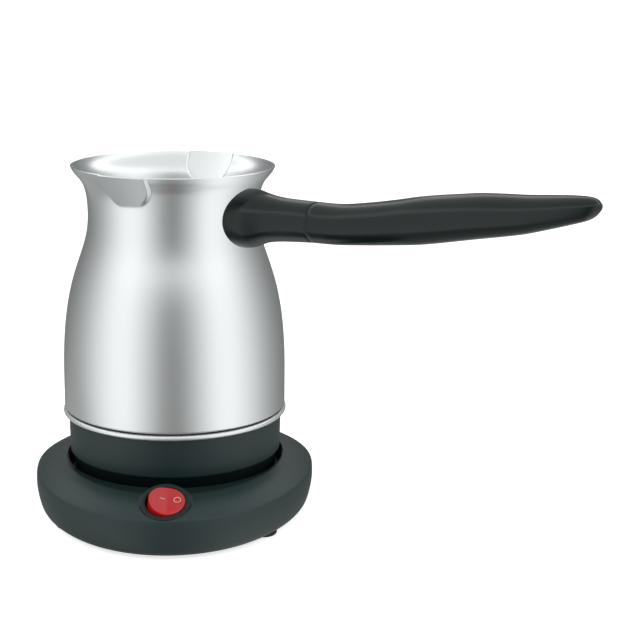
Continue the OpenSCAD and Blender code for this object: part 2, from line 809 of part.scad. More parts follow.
module coupler_plug() {
    color(nylon) difference() {
        union() {
            translate([0, 0, plug_z]) cylinder(r = plug_flange_r, h = plug_flange_t);
            translate([0, 0, plug_z]) cylinder(r = tower_r, h = tower_z - plug_z);
        }
        translate([0, 0, slot_floor_z - over])
            cylinder(r = live_r + running + clip_t + snug, h = tower_z);
        ring_slot(neutral_r);
        ring_slot(earth_r);
        clip_tail_hole(0, 0, clip_w);
        clip_tail_hole(neutral_turn, clip_in_r(neutral_r) + clip_t / 2, clip_w);
        clip_tail_hole(earth_turn, clip_in_r(earth_r) + clip_t / 2, clip_w);
        around(coupler_screw_turns, coupler_screw_at_r)
            translate([0, 0, plug_z - over]) cylinder(r = screw_r, h = plug_flange_t + 2 * over);
    }
}

module live_clip() {
    color(brass) {
        translate([0, 0, slot_floor_z])
            tube(live_r + running + clip_t, live_r + running, clip_h);
        translate([0, 0, slot_floor_z - over + snug])
            cylinder(r = live_r + running + clip_t, h = over);
        clip_tail(0, 0, clip_w);
    }
}

module ring_clip(turn, ring_r) {
    color(brass) {
        intersection() {
            translate([0, 0, slot_floor_z + snug])
                tube(clip_in_r(ring_r) + clip_t, clip_in_r(ring_r), clip_h);
            rotate([0, 0, turn]) translate([0, -clip_w / 2, slot_floor_z])
                cube([earth_r * 2, clip_w, tower_h]);
        }
        clip_tail(turn, clip_in_r(ring_r) + clip_t / 2, clip_w);
    }
}

module neutral_clip() { ring_clip(neutral_turn, neutral_r); }

module earth_clip() { ring_clip(earth_turn, earth_r); }

module coupler_screws() {
    color(steel) around(coupler_screw_turns, coupler_screw_at_r)
        translate([0, 0, plug_z - coupler_head_h])
            screw_up(coupler_head_h + plug_flange_t + seat_t - 2 * snug, coupler_screw_r,
                     coupler_head_r, coupler_head_h);
}

// ==== Switch ====

module switch_housing() {
    color(glossy) at_switch() difference() {
        union() {
            translate([0, 0, -bezel_t]) cylinder(r = bezel_d / 2, h = bezel_t - bezel_edge);
            translate([0, 0, -bezel_edge])
                cylinder(r1 = bezel_d / 2, r2 = bezel_d / 2 - bezel_edge, h = bezel_edge);
            translate([0, 0, -switch_depth]) cylinder(r = switch_d / 2, h = switch_depth - bezel_t);
            for (side = [-1, 1])
                translate([side * latch_x - latch_t / 2, -latch_w / 2, -bezel_t - panel_t - latch_h])
                    cube([latch_t, latch_w, latch_h - snug]);
        }
        translate([0, 0, -switch_depth + switch_floor_t])
            cylinder(r = switch_cavity_r, h = switch_depth);
        translate([0, 0, -pivot_drop]) across(stub_hole_end)
            cylinder(r = stub_r + running, h = 2 * stub_hole_end);
        for (x = [-terminal_x, 0, terminal_x])
            translate([x - tab_t / 2 - snug, -tab_w / 2 - snug, -switch_depth - over])
                cube([tab_t + 2 * snug, tab_w + 2 * snug, switch_floor_t + 2 * over]);
    }
}

module switch_tab(x, top) {
    translate([x - tab_t / 2, -tab_w / 2, tail_z]) cube([tab_t, tab_w, top - tail_z]);
}

module switch_terminals() {
    color(brass) at_switch() {
        switch_tab(0, arm_pivot_z - running);
        switch_tab(terminal_x, fixed_top);
        translate([contact_x - contact_r, -tab_w / 2, fixed_top - terminal_t])
            cube([terminal_x + tab_t / 2 - contact_x + contact_r, tab_w, terminal_t]);
        switch_tab(-terminal_x, -switch_depth + switch_floor_t + 0.6);
    }
}

module in_rocker() {
    at_switch() translate([0, 0, -pivot_drop]) rotate([0, rocker_tilt, 0]) children();
}

module rocker_top(down) {
    r = rocker_d / 2;
    across(r) linear_extrude(2 * r) polygon([
        [-r, -rocker_foot - down], [r, -rocker_foot - down], [r, rocker_end_h - down],
        [0, rocker_mid_h - down], [-r, rocker_end_h - down]
    ]);
}

module rocker() {
    color(red) in_rocker() difference() {
        union() {
            intersection() {
                translate([0, 0, -rocker_foot]) cylinder(r = rocker_d / 2, h = rocker_d);
                rocker_top(0);
                across(rocker_d) cylinder(r = rocker_swing_r, h = 2 * rocker_d);
            }
            across(stub_end) cylinder(r = stub_r, h = 2 * stub_end);
            translate([0, 0, -stem_foot]) cylinder(r = stem_r, h = stem_foot + spring_top);
        }
        difference() {
            intersection() {
                translate([0, 0, -rocker_foot - over])
                    cylinder(r = rocker_d / 2 - rocker_skin, h = rocker_d);
                rocker_top(rocker_skin);
                across(rocker_d) cylinder(r = rocker_swing_r - rocker_skin, h = 2 * rocker_d);
            }
            translate([0, 0, -stem_foot]) cylinder(r = stem_r, h = rocker_d);
            for (side = [-1, 1]) translate([side * stand_x - stand_t / 2, -stand_w / 2, 0])
                cube([stand_t, stand_w, rocker_d]);
        }
        translate([0, 0, -stem_foot - over])
            cylinder(r = plunger_r + snug, h = stem_foot + over + spring_top);
    }
}

module rocker_lamp() {
    color([0.95, 0.55, 0.35, 1]) in_rocker()
        translate([-lamp_x, 0, rocker_mid_h - rocker_skin - lamp_r - 0.2]) rotate([90, 0, 0]) {
            translate([0, 0, -lamp_half]) cylinder(r = lamp_r, h = 2 * lamp_half);
            for (side = [-1, 1]) translate([0, 0, side * lamp_half]) sphere(r = lamp_r * 0.7);
        }
}

module rocker_plunger() {
    color(brass) in_rocker() {
        translate([0, 0, -plunger_reach + plunger_r])
            cylinder(r = plunger_r, h = plunger_reach - plunger_r + spring_low);
        translate([0, 0, -plunger_reach + plunger_r]) sphere(r = plunger_r);
    }
}

module plunger_spring() {
    color(steel) in_rocker() translate([0, 0, spring_low + snug])
        tube(spring_r, spring_r - spring_wire, spring_top - spring_low - 2 * snug);
}

module contact_arm() {
    color(brass) at_switch() translate([0, 0, arm_pivot_z]) rotate([0, -arm_tilt, 0]) {
        translate([-arm_half, -arm_w / 2, 0]) cube([2 * arm_half, arm_w, arm_t]);
        translate([contact_x, 0, -contact_t]) cylinder(r = contact_r, h = contact_t);
    }
}

// ==== Wires in the base ====

// Two points at a way of the terminal block, from the inside out
function at_block(x) = [
    for (out = [-block_wire_in, block_wire_in]) [x, block_y - block_d / 2 - out, block_wire_z]
];

// Two points at a blade of the switch, from the outside in
function at_blade(x) = [
    for (out = [blade_wire_out, snug]) switch_point([x, tab_w / 2 + out, blade_wire_z])
];

function reversed(list) = [for (i = [len(list) - 1 : -1 : 0]) list[i]];

module live_wire() {
    color([0.45, 0.27, 0.16]) wire(live_route);
}

module switched_wire() {
    color([0.15, 0.15, 0.16]) wire(switched_route);
}

module neutral_wires() {
    color([0.20, 0.35, 0.62]) {
        wire(neutral_route);
        wire(lamp_route);
    }
}

module earth_wire() {
    color([0.45, 0.62, 0.22]) wire(earth_route);
}

// ==== Contacts under the pot, round about the pot's axis ====

module socket_pin() {
    color(brass) {
        translate([0, 0, pin_z]) cylinder(r = live_r, h = socket_roof_z + blade_seat - pin_z);
        translate([0, 0, pin_z - pin_point_h]) cylinder(r1 = live_r / 2, r2 = live_r, h = pin_point_h);
    }
}

module contact_ring(r) {
    color(brass) translate([0, 0, blade_z])
        tube(r + blade_t / 2, r - blade_t / 2, socket_roof_z + blade_seat - blade_z);
}

module neutral_ring() { contact_ring(neutral_r); }

module earth_ring() { contact_ring(earth_r); }

// ==== Pot ====

module vessel() {
    color(steel) difference() {
        vessel_form(0, 0);
        vessel_form(sheet_t, spout_root);
        translate([-2 * rim_r, -2 * rim_r, rim_z]) cube([4 * rim_r, 4 * rim_r, spout_depth]);
    }
}

module trim_ring() {
    color(steel) rotate_extrude() polygon(concat(
        [[ring_inner_r, ring_top], [ring_inner_r, ring_z], [skirt_r + fit, ring_z],
         [skirt_r + fit, bead_mid_z - bead_h / 2]],
        [for (a = [-90 : 22.5 : 90])
            [bead_base_r + bead_h / 2 * cos(a), bead_mid_z + bead_h / 2 * sin(a)]]
    ));
}

module vessel_seal() {
    color(rubber) translate([0, 0, ring_top]) tube(belly_r - corner_r / 4 - snug, ring_inner_r, seal_t);
}

module plate_hole() {
    translate([0, 0, -over]) cylinder(r = screw_r + running, h = over + small_screw_len + snug);
}

module plate_holes() {
    at_thermostat() for (side = [-1, 1]) translate([side * ear_x, 0, 0]) plate_hole();
    at_fuse() translate([0, -fuse_screw_y, 0]) plate_hole();
    at_earth() plate_hole();
}

module heat_plate() {
    color(aluminium) difference() {
        translate([0, 0, plate_z]) cylinder(r = heat_plate_r, h = heat_plate_t);
        plate_holes();
    }
}

module heating_element() {
    color(steel) {
        rotate([0, 0, element_turns[1]]) rotate_extrude(angle = 360 - 2 * element_gap)
            translate([element_r, element_z]) circle(r = tube_r);
        around(element_turns, element_r) {
            translate([0, 0, element_z]) sphere(r = tube_end_r);
            translate([0, 0, cold_end_z]) cylinder(r = tube_r, h = element_z - cold_end_z);
            translate([0, 0, cold_pin_z]) cylinder(r = cold_pin_r, h = cold_end_z - cold_pin_z + over);
        }
    }
}

module mounting_posts() {
    color(steel) around(post_turns, post_at_r) difference() {
        translate([0, 0, post_z]) cylinder(r = post_r, h = post_len);
        translate([0, 0, post_z - over]) cylinder(r = screw_r + running, h = post_len - post_end + over);
    }
}

module skirt() {
    open_r = socket_out_r + fit;
    top_z = ring_z - skirt_lip_h;
    inner_z = skirt_edge_z + skirt_wall;
    inner_r = skirt_foot_r - skirt_wall;
    color(charcoal) difference() {
        union() {
            rotate_extrude() polygon(concat(
                [[inner_r, skirt_z], [skirt_foot_r, skirt_z], [skirt_foot_r, skirt_edge_z]],
                [for (a = [-90 : 22.5 : 0])
                    [skirt_edge_r, skirt_edge_z] + skirt_edge_round * [cos(a) - 1, sin(a) + 1]],
                [[skirt_r, ring_z], [skirt_lip_r, ring_z], [skirt_lip_r, top_z],
                 [skirt_at(top_z) - skirt_wall, top_z], [skirt_at(inner_z) - skirt_wall, inner_z],
                 [inner_r, inner_z], [inner_r, skirt_floor_top],
                 [open_r, skirt_floor_top], [open_r, skirt_floor_z], [inner_r, skirt_floor_z]]
            ));
            around(post_turns, post_at_r)
                translate([0, 0, skirt_floor_z]) cylinder(r = column_r, h = post_z - skirt_floor_z - snug);
        }
        around(post_turns, post_at_r) {
            translate([0, 0, skirt_floor_z - over]) cylinder(r = screw_head_r + fit, h = column_sink + over);
            translate([0, 0, skirt_floor_z - over]) cylinder(r = screw_r + fit / 2, h = post_z);
        }
        around(socket_screw_turns, socket_screw_at_r)
            translate([0, 0, skirt_floor_z - over])
                cylinder(r = screw_r + running, h = skirt_floor_t + 2 * over);
    }
}

module skirt_screws() {
    color(steel) around(post_turns, post_at_r)
        translate([0, 0, skirt_floor_z + column_sink - screw_head_h])
            screw_up(screw_head_h + skirt_screw_len);
}

module terminal_hole(turn, r) {
    rotate([0, 0, turn]) translate([r - tab_t / 2 - snug, -clip_w / 2 - snug, socket_roof_z])
        cube([tab_t + 2 * snug, clip_w + 2 * snug, socket_roof_t + over]);
}

module socket_body() {
    color(nylon) difference() {
        union() {
            translate([0, 0, skirt_floor_z + snug])
                cylinder(r = socket_out_r, h = socket_top - skirt_floor_z - snug);
            translate([0, 0, skirt_floor_top]) cylinder(r = socket_flange_r, h = socket_flange_t);
        }
        translate([0, 0, skirt_floor_z - over])
            cylinder(r = socket_cavity_r, h = socket_roof_z - skirt_floor_z + over);
        translate([0, 0, socket_roof_z - over]) {
            cylinder(r = live_r + running, h = over + blade_seat);
            for (r = [neutral_r, earth_r])
                tube(r + blade_t / 2 + running, r - blade_t / 2 - running, over + blade_seat);
        }
        terminal_hole(0, 0);
        terminal_hole(neutral_turn, neutral_r);
        terminal_hole(earth_turn, earth_r);
        around(socket_screw_turns, socket_screw_at_r)
            translate([0, 0, skirt_floor_top - over])
                cylinder(r = screw_r + fit / 2, h = socket_flange_t + 2 * over);
    }
}

module socket_terminals() {
    tab_z = socket_roof_z + blade_seat + running;
    color(brass) for (place = [[0, 0], [neutral_turn, neutral_r], [earth_turn, earth_r]])
        rotate([0, 0, place[0]]) translate([place[1] - tab_t / 2, -clip_w / 2, tab_z])
            cube([tab_t, clip_w, socket_tab_top - tab_z]);
}

module socket_screws() {
    color(steel) around(socket_screw_turns, socket_screw_at_r)
        translate([0, 0, skirt_floor_top + socket_flange_t + screw_head_h])
            screw_down(screw_head_h + socket_flange_t + skirt_floor_t - 2 * snug);
}

// ==== Heat controls ====

module at_thermostat() {
    rotate([0, 0, thermostat_turn]) translate([thermostat_at_r, 0, plate_z]) rotate([0, 0, 90]) children();
}

module thermostat_cap() {
    color(aluminium) at_thermostat() difference() {
        union() {
            translate([0, 0, -cap_depth]) cylinder(r = cap_r, h = cap_depth);
            translate([0, 0, -cap_flange_t]) {
                translate([-ear_x, -ear_r, 0]) cube([2 * ear_x, 2 * ear_r, cap_flange_t]);
                for (side = [-1, 1]) translate([side * ear_x, 0, 0]) cylinder(r = ear_r, h = cap_flange_t);
            }
        }
        translate([0, 0, -cap_depth - over])
            cylinder(r = cap_r - cap_wall, h = cap_depth + over - cap_flange_t);
        for (side = [-1, 1]) translate([side * ear_x, 0, -cap_depth])
            cylinder(r = screw_r + snug, h = cap_depth + over);
    }
}

module bimetal_disc() {
    color(steel) at_thermostat()
        translate([0, 0, -cap_flange_t - snug - disc_t]) cylinder(r = thermostat_r - 0.6, h = disc_t);
}

module thermostat_body() {
    color([0.25, 0.22, 0.20]) at_thermostat() translate([0, 0, body_z - plate_z])
        cylinder(r = thermostat_r, h = thermostat_h);
    color(brass) at_thermostat() for (side = [-1, 1])
        translate([side * body_tab_x - tab_t / 2, -tab_w / 2, body_z - plate_z - body_tab_len])
            cube([tab_t, tab_w, body_tab_len]);
}

module thermostat_screws() {
    color(steel) at_thermostat() for (side = [-1, 1])
        translate([side * ear_x, 0, -cap_flange_t - screw_head_h])
            screw_up(screw_head_h + cap_flange_t + small_screw_len, screw_r, ear_screw_head_r);
}

module at_fuse() {
    rotate([0, 0, fuse_turn]) translate([fuse_at_r, 0, plate_z]) rotate([0, 0, 90]) children();
}

module thermal_fuse() {
    color([0.80, 0.80, 0.82]) at_fuse() translate([0, 0, fuse_z - plate_z]) rotate([0, 90, 0])
        translate([0, 0, -fuse_len / 2]) cylinder(r = fuse_d / 2, h = fuse_len);
}

module fuse_clip() {
    strap_r = fuse_d / 2 + snug + clip_strap_t;
    color(steel) at_fuse() difference() {
        union() {
            translate([0, 0, fuse_z - plate_z]) rotate([0, 90, 0]) translate([0, 0, -fuse_clip_w / 2])
                cylinder(r = strap_r, h = fuse_clip_w);
            translate([-fuse_clip_w / 2, -fuse_screw_y - fuse_clip_end, -clip_strap_t])
                cube([fuse_clip_w, fuse_screw_y + fuse_clip_end, clip_strap_t]);
        }
        translate([0, 0, fuse_z - plate_z]) rotate([0, 90, 0]) translate([0, 0, -fuse_clip_w])
            cylinder(r = fuse_d / 2 + snug, h = 2 * fuse_clip_w);
        translate([-fuse_clip_w, -fuse_d, 0]) cube([2 * fuse_clip_w, 2 * fuse_d, fuse_d]);
        translate([0, -fuse_screw_y, -fuse_clip_w]) cylinder(r = screw_r + snug, h = 2 * fuse_clip_w);
    }
}

module fuse_screw() {
    color(steel) at_fuse() translate([0, -fuse_screw_y, -clip_strap_t - screw_head_h])
        screw_up(screw_head_h + clip_strap_t + small_screw_len, screw_r, fuse_screw_head_r);
}

module at_earth() {
    rotate([0, 0, earth_at_turn]) translate([earth_at_r, 0, plate_z]) children();
}

module earth_lug() {
    color(brass) at_earth() translate([0, 0, -lug_t]) difference() {
        union() {
            cylinder(r = lug_r, h = lug_t);
            translate([-lug_r - lug_tail_len, -lug_tail_w / 2, 0])
                cube([lug_r + lug_tail_len, lug_tail_w, lug_t]);
        }
        translate([0, 0, -over]) cylinder(r = screw_r + snug, h = lug_t + 2 * over);
    }
}

module earth_screw() {
    color(steel) at_earth() translate([0, 0, -lug_t - screw_head_h])
        screw_up(screw_head_h + lug_t + small_screw_len, screw_r, ear_screw_head_r);
}

module pot_wires() {
    color([0.75, 0.72, 0.66]) for (route = pot_wire_routes) wire(route, pot_wire_r);
}

// ==== Handle ====

module stud_bore(from, to, r) {
    translate([from, 0, stud_z]) rotate([0, 90, 0]) cylinder(r = r, h = to - from);
}

module handle_bracket() {
    color(steel) difference() {
        union() {
            intersection() {
                vessel_form(-bracket_t, 0);
                along_handle() stud_bore(root_r / 2, 2 * root_r, bracket_r);
            }
            along_handle() stud_bore(root_r / 2, root_r + bracket_boss_len, bracket_boss_r);
        }
        vessel_form(-eps, 0);
        along_handle() stud_bore(stud_s - snug, 2 * root_r, stud_r + running);
    }
}

module handle_stud() {
    color(steel) along_handle() stud_bore(stud_s, stud_s + stud_len, stud_r);
}

module handle_neck() {
    color(glossy) difference() {
        along_handle() handle_sweep(neck_stations);
        vessel_form(-snug, 0);
        along_handle() stud_bore(root_r / 2, bracket_out_r + bracket_play, bracket_r + fit);
        along_handle() stud_bore(root_r, root_r + bracket_boss_len + fit, bracket_boss_r + fit);
        along_handle() stud_bore(root_r, seam_s, stud_r + fit);
    }
}

module handle_insert() {
    color(brass) along_handle() difference() {
        stud_bore(seam_s + 1, seam_s + 1 + insert_len, insert_r);
        stud_bore(seam_s, seam_s + insert_len + 2, stud_r + running);
    }
}

module handle_grip() {
    color(glossy) along_handle() difference() {
        handle_sweep(grip_stations);
        stud_bore(seam_s, seam_s + 1 + insert_len + snug, insert_r + snug);
        stud_bore(seam_s, stud_s + stud_len + 2, stud_r + fit);
    }
}

base_shell();
base_cover();
base_feet();
cover_screws();
cord_gland();
terminal_block();
block_screws();
coupler_plug();
live_clip();
neutral_clip();
earth_clip();
coupler_screws();
switch_housing();
switch_terminals();
live_wire();
switched_wire();
neutral_wires();
earth_wire();
rocker();
rocker_lamp();
rocker_plunger();
plunger_spring();
contact_arm();
socket_pin();
neutral_ring();
earth_ring();
vessel();
trim_ring();
vessel_seal();
heat_plate();
heating_element();
mounting_posts();
skirt();
skirt_screws();
socket_body();
socket_terminals();
socket_screws();
thermostat_body();
thermostat_cap();
bimetal_disc();
thermostat_screws();
thermal_fuse();
fuse_clip();
fuse_screw();
earth_lug();
earth_screw();
pot_wires();
handle_bracket();
handle_stud();
handle_neck();
handle_insert();
handle_grip();
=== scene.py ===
"""Looks of an electric Turkish coffee maker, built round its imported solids."""

import json
import math

import bmesh
import bpy
from bpy.props import FloatProperty, FloatVectorProperty, PointerProperty
from mathutils import Matrix, Vector
from mathutils.geometry import interpolate_bezier

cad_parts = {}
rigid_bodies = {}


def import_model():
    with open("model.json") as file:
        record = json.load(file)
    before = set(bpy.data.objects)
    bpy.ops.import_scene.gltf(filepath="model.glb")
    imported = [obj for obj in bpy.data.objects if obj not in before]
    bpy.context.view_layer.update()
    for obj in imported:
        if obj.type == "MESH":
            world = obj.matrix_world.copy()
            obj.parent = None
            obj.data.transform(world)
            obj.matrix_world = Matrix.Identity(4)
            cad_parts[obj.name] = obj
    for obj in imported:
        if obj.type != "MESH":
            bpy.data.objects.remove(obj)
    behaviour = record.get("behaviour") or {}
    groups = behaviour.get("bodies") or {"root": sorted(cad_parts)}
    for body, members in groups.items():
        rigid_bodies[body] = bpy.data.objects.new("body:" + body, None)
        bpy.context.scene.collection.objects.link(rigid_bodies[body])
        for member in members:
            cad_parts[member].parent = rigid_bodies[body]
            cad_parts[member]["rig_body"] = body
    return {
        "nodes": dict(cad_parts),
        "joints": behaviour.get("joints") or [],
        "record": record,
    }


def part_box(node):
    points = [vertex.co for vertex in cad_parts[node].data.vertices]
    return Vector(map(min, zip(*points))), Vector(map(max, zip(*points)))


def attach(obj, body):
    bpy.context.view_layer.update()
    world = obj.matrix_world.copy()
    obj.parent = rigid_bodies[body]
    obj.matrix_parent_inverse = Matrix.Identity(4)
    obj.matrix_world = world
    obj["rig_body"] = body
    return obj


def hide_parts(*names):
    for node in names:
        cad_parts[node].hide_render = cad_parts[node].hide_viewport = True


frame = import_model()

bl_info = {
    "name": "Turkish coffee maker",
    "version": (1, 0, 0),
    "blender": (4, 5, 0),
    "location": "3D View > Sidebar > Coffee maker",
    "description": "Builds the visible pieces of an electric Turkish coffee maker and lights them",
    "category": "Object",
}

MM = 0.001
WELD = 1e-6
FULL_TURN = 2 * math.pi
# Depth of the rocker's pivot under the face of the switch
PIVOT_DEPTH = 3.2 * MM
# Brightness of the room's walls, from straight ahead (0) to straight behind (1)
WALL_LIGHT = (
    (0.0, 0.22), (0.058, 0.3), (0.117, 0.51), (0.175, 0.71), (0.233, 0.92), (0.3, 1.0), (0.367, 0.95),
    (0.433, 0.82), (0.511, 0.62), (0.6, 0.42), (0.711, 0.27), (0.833, 0.18), (1.0, 0.15))
CEILING_LIGHT, STRIP_LIGHT, TABLE_LIGHT = 0.78, 1.4, 0.32
# The two lamps: place, size and power
LAMPS = {
    "key_box": ((-0.9, -0.9, 1.3), 0.9, 7),
    "fill_box": ((1.2, -0.5, 0.9), 0.9, 5),
}
CAMERA_PLACE = (0.04853, -0.71298, 0.2657)
CAMERA_TURN = (math.radians(-1.8), math.radians(76.3), 0.01389)
VESSEL_LOW, VESSEL_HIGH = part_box("vessel")
BASE_LOW, BASE_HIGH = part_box("base_shell")
RING_LOW, RING_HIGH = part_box("trim_ring")
ROCKER_JOINT = next(joint for joint in frame["joints"] if joint["name"] == "rocker_tilt")


# ---- Colours ----

def linear(code):
    """Linear colour of an sRGB hex value."""
    shares = [int(code[i:i + 2], 16) / 255 for i in (0, 2, 4)]
    return [s / 12.92 if s <= 0.04045 else ((s + 0.055) / 1.055) ** 2.4 for s in shares] + [1.0]


# ---- Sizes and colours that a user would change ----

class PotSizes(bpy.types.PropertyGroup):
    """Sizes of the steel pot."""
    belly_radius: FloatProperty(name="Belly radius", description="Outer radius of the belly",
                                default=53.9 * MM, unit="LENGTH", precision=5)
    belly_height: FloatProperty(name="Belly height", description="Height of the straight part",
                                default=16 * MM, unit="LENGTH", precision=5)
    neck_radius: FloatProperty(name="Neck radius", description="Outer radius of the waist",
                               default=40.8 * MM, unit="LENGTH", precision=5)
    neck_height: FloatProperty(name="Neck height", description="Height of the waist over the bottom",
                               default=94.5 * MM, unit="LENGTH", precision=5)
    rim_radius: FloatProperty(name="Rim radius", description="Outer radius of the rim",
                              default=48.6 * MM, unit="LENGTH", precision=5)
    wall: FloatProperty(name="Wall", description="Thickness of the sheet steel",
                        default=0.8 * MM, unit="LENGTH", precision=5)
    corner: FloatProperty(name="Corner", description="Radius of the bottom corner",
                          default=1.2 * MM, unit="LENGTH", precision=5)
    lip_radius: FloatProperty(name="Lip radius", description="Radius of a half-round pouring lip",
                              default=12.6 * MM, unit="LENGTH", precision=5)
    lip_depth: FloatProperty(name="Lip depth", description="How far a pouring lip reaches down",
                             default=15.5 * MM, unit="LENGTH", precision=5)
    lip_out: FloatProperty(name="Lip reach", description="How far a pouring lip stands out at the rim",
                           default=2 * MM, unit="LENGTH", precision=5)
    front_lip: FloatProperty(name="Front lip", description="Direction of the front lip from the handle",
                             default=math.radians(-82), subtype="ANGLE")
    rear_lip: FloatProperty(name="Rear lip", description="Direction of the rear lip from the handle",
                            default=math.radians(103), subtype="ANGLE")


class HandleSizes(bpy.types.PropertyGroup):
    """Sizes of the handle."""
    turn: FloatProperty(name="Direction", description="Direction of the handle about the pot's axis",
                        default=math.radians(-33.1), subtype="ANGLE")
    height: FloatProperty(name="Height", description="Height of the handle's root above the table",
                          default=146.3 * MM, unit="LENGTH", precision=5)
    root: FloatProperty(name="Root", description="Distance of the neck piece's root from the pot's axis",
                        default=40.1 * MM, unit="LENGTH", precision=5)
    flange: FloatProperty(name="Flange", description="Half width of the neck piece at the pot",
                          default=14.2 * MM, unit="LENGTH", precision=5)
    seam: FloatProperty(name="Seam", description="Distance of the seam from the pot's axis",
                        default=80 * MM, unit="LENGTH", precision=5)
    tip: FloatProperty(name="Tip", description="Distance of the tip from the pot's axis",
                       default=215 * MM, unit="LENGTH", precision=5)
    rise: FloatProperty(name="Rise", description="Height of the tip above the root",
                        default=22 * MM, unit="LENGTH", precision=5)


class BaseSizes(bpy.types.PropertyGroup):
    """Sizes of the base."""
    radius: FloatProperty(name="Radius", description="Widest radius of the base",
                          default=BASE_HIGH.x, unit="LENGTH", precision=5)
    reach: FloatProperty(name="Front reach", description="How much further the base reaches in front",
                         default=-BASE_LOW.y - BASE_HIGH.x, unit="LENGTH", precision=5)
    crease: FloatProperty(name="Crease", description="Height of the crease between side and slope",
                          default=20 * MM, unit="LENGTH", precision=5)
    top: FloatProperty(name="Top", description="Height of the inner edge of the slope",
                       default=25.3 * MM, unit="LENGTH", precision=5)
    recess: FloatProperty(name="Recess", description="Radius of the round recess for the pot",
                          default=52.7 * MM, unit="LENGTH", precision=5)
    seat: FloatProperty(name="Seat", description="Height of the seat that the pot stands on",
                        default=15 * MM, unit="LENGTH", precision=5)
    wall: FloatProperty(name="Wall", description="Thickness of the moulding",
                        default=2.2 * MM, unit="LENGTH", precision=5)


class SwitchSizes(bpy.types.PropertyGroup):
    """Sizes of the rocker switch."""
    bezel: FloatProperty(name="Bezel", description="Diameter of the bezel",
                         default=23 * MM, unit="LENGTH", precision=5)
    rocker: FloatProperty(name="Rocker", description="Diameter of the rocker",
                          default=16.6 * MM, unit="LENGTH", precision=5)
    tilt: FloatProperty(name="Tilt", description="Tilt of the switch's face towards the front",
                        default=math.radians(27), subtype="ANGLE")
    throw: FloatProperty(name="Throw", description="Tilt of the rocker to each side",
                         default=math.radians(10), subtype="ANGLE")


class Finishes(bpy.types.PropertyGroup):
    """Colours of the main materials."""
    steel: FloatVectorProperty(name="Steel", description="Colour of the brushed steel", size=4,
                               default=linear("dfe3e3"), subtype="COLOR", min=0, max=1)
    charcoal: FloatVectorProperty(name="Charcoal", description="Colour of base and skirt", size=4,
                                  default=linear("1e2f2f"), subtype="COLOR", min=0, max=1)
    black: FloatVectorProperty(name="Black", description="Colour of the handle", size=4,
                               default=linear("0e1a19"), subtype="COLOR", min=0, max=1)
    red: FloatVectorProperty(name="Red", description="Colour of the rocker", size=4,
                             default=linear("b5161d"), subtype="COLOR", min=0, max=1)


def sizes(group):
    """The group of sizes or colours with this name."""
    return getattr(bpy.context.scene, "coffee_" + group)


# ---- Materials ----

def add_node(tree, kind, inputs=None, **settings):
    """A node with its settings; an input takes a number, a colour or another node's output."""
    node = tree.nodes.new(kind)
    for name, value in settings.items():
        setattr(node, name, value)
    for name, value in (inputs or {}).items():
        if isinstance(value, bpy.types.NodeSocket):
            tree.links.new(value, node.inputs[name])
        else:
            node.inputs[name].default_value = value
    return node


def new_material(name, colour, **constants):
    """A material with a Principled shader that has these constant values."""
    material = bpy.data.materials.new(name)
    material.use_nodes = True
    shader = material.node_tree.nodes["Principled BSDF"]
    shader.inputs["Base Color"].default_value = colour
    for key, value in constants.items():
        shader.inputs[key.replace("_", " ")].default_value = value
    return material, material.node_tree, shader


def grain(tree, shader, per_metre, depth, rough):
    """Surface texture from object coordinates: spots or lines this fine, this deep and this rough."""
    place = add_node(tree, "ShaderNodeTexCoord").outputs["Object"]
    stretched = add_node(tree, "ShaderNodeMapping", {"Vector": place, "Scale": per_metre})
    noise = add_node(tree, "ShaderNodeTexNoise",
                     {"Vector": stretched.outputs[0], "Scale": 1.0, "Detail": 2.0})
    spread = add_node(tree, "ShaderNodeMapRange",
                      {"Value": noise.outputs[0], "From Min": 0.3, "From Max": 0.7,
                       "To Min": rough[0], "To Max": rough[1]})
    bump = add_node(tree, "ShaderNodeBump",
                    {"Height": noise.outputs[0], "Strength": 1.0, "Distance": depth})
    tree.links.new(spread.outputs[0], shader.inputs["Roughness"])
    tree.links.new(bump.outputs[0], shader.inputs["Normal"])


def satin_stainless_steel():
    """Stainless steel, turned with a fine belt: soft upright bands of light, faint lines round the pot."""
    material, tree, shader = new_material(
        "Satin stainless steel", sizes("finishes").steel, Metallic=1.0, Anisotropic=0.6,
        Anisotropic_Rotation=0.25)
    grain(tree, shader, (18, 18, 2600), 0.0015 * MM, (0.28, 0.32))
    return material


def polished_stainless_steel():
    """Stainless steel polished after rolling: a bright, narrow reflection."""
    material, tree, shader = new_material(
        "Polished stainless steel", linear("dfe3e3"), Metallic=0.65)
    grain(tree, shader, (60, 60, 900), 0.002 * MM, (0.24, 0.3))
    return material


def charcoal_abs():
    """ABS, injection moulded in a finely eroded tool: dark satin with a soft sheen."""
    material, tree, shader = new_material(
        "Charcoal ABS", sizes("finishes").charcoal, IOR=1.5, Specular_IOR_Level=0.4)
    grain(tree, shader, (1600, 1600, 1600), 0.006 * MM, (0.42, 0.5))
    return material


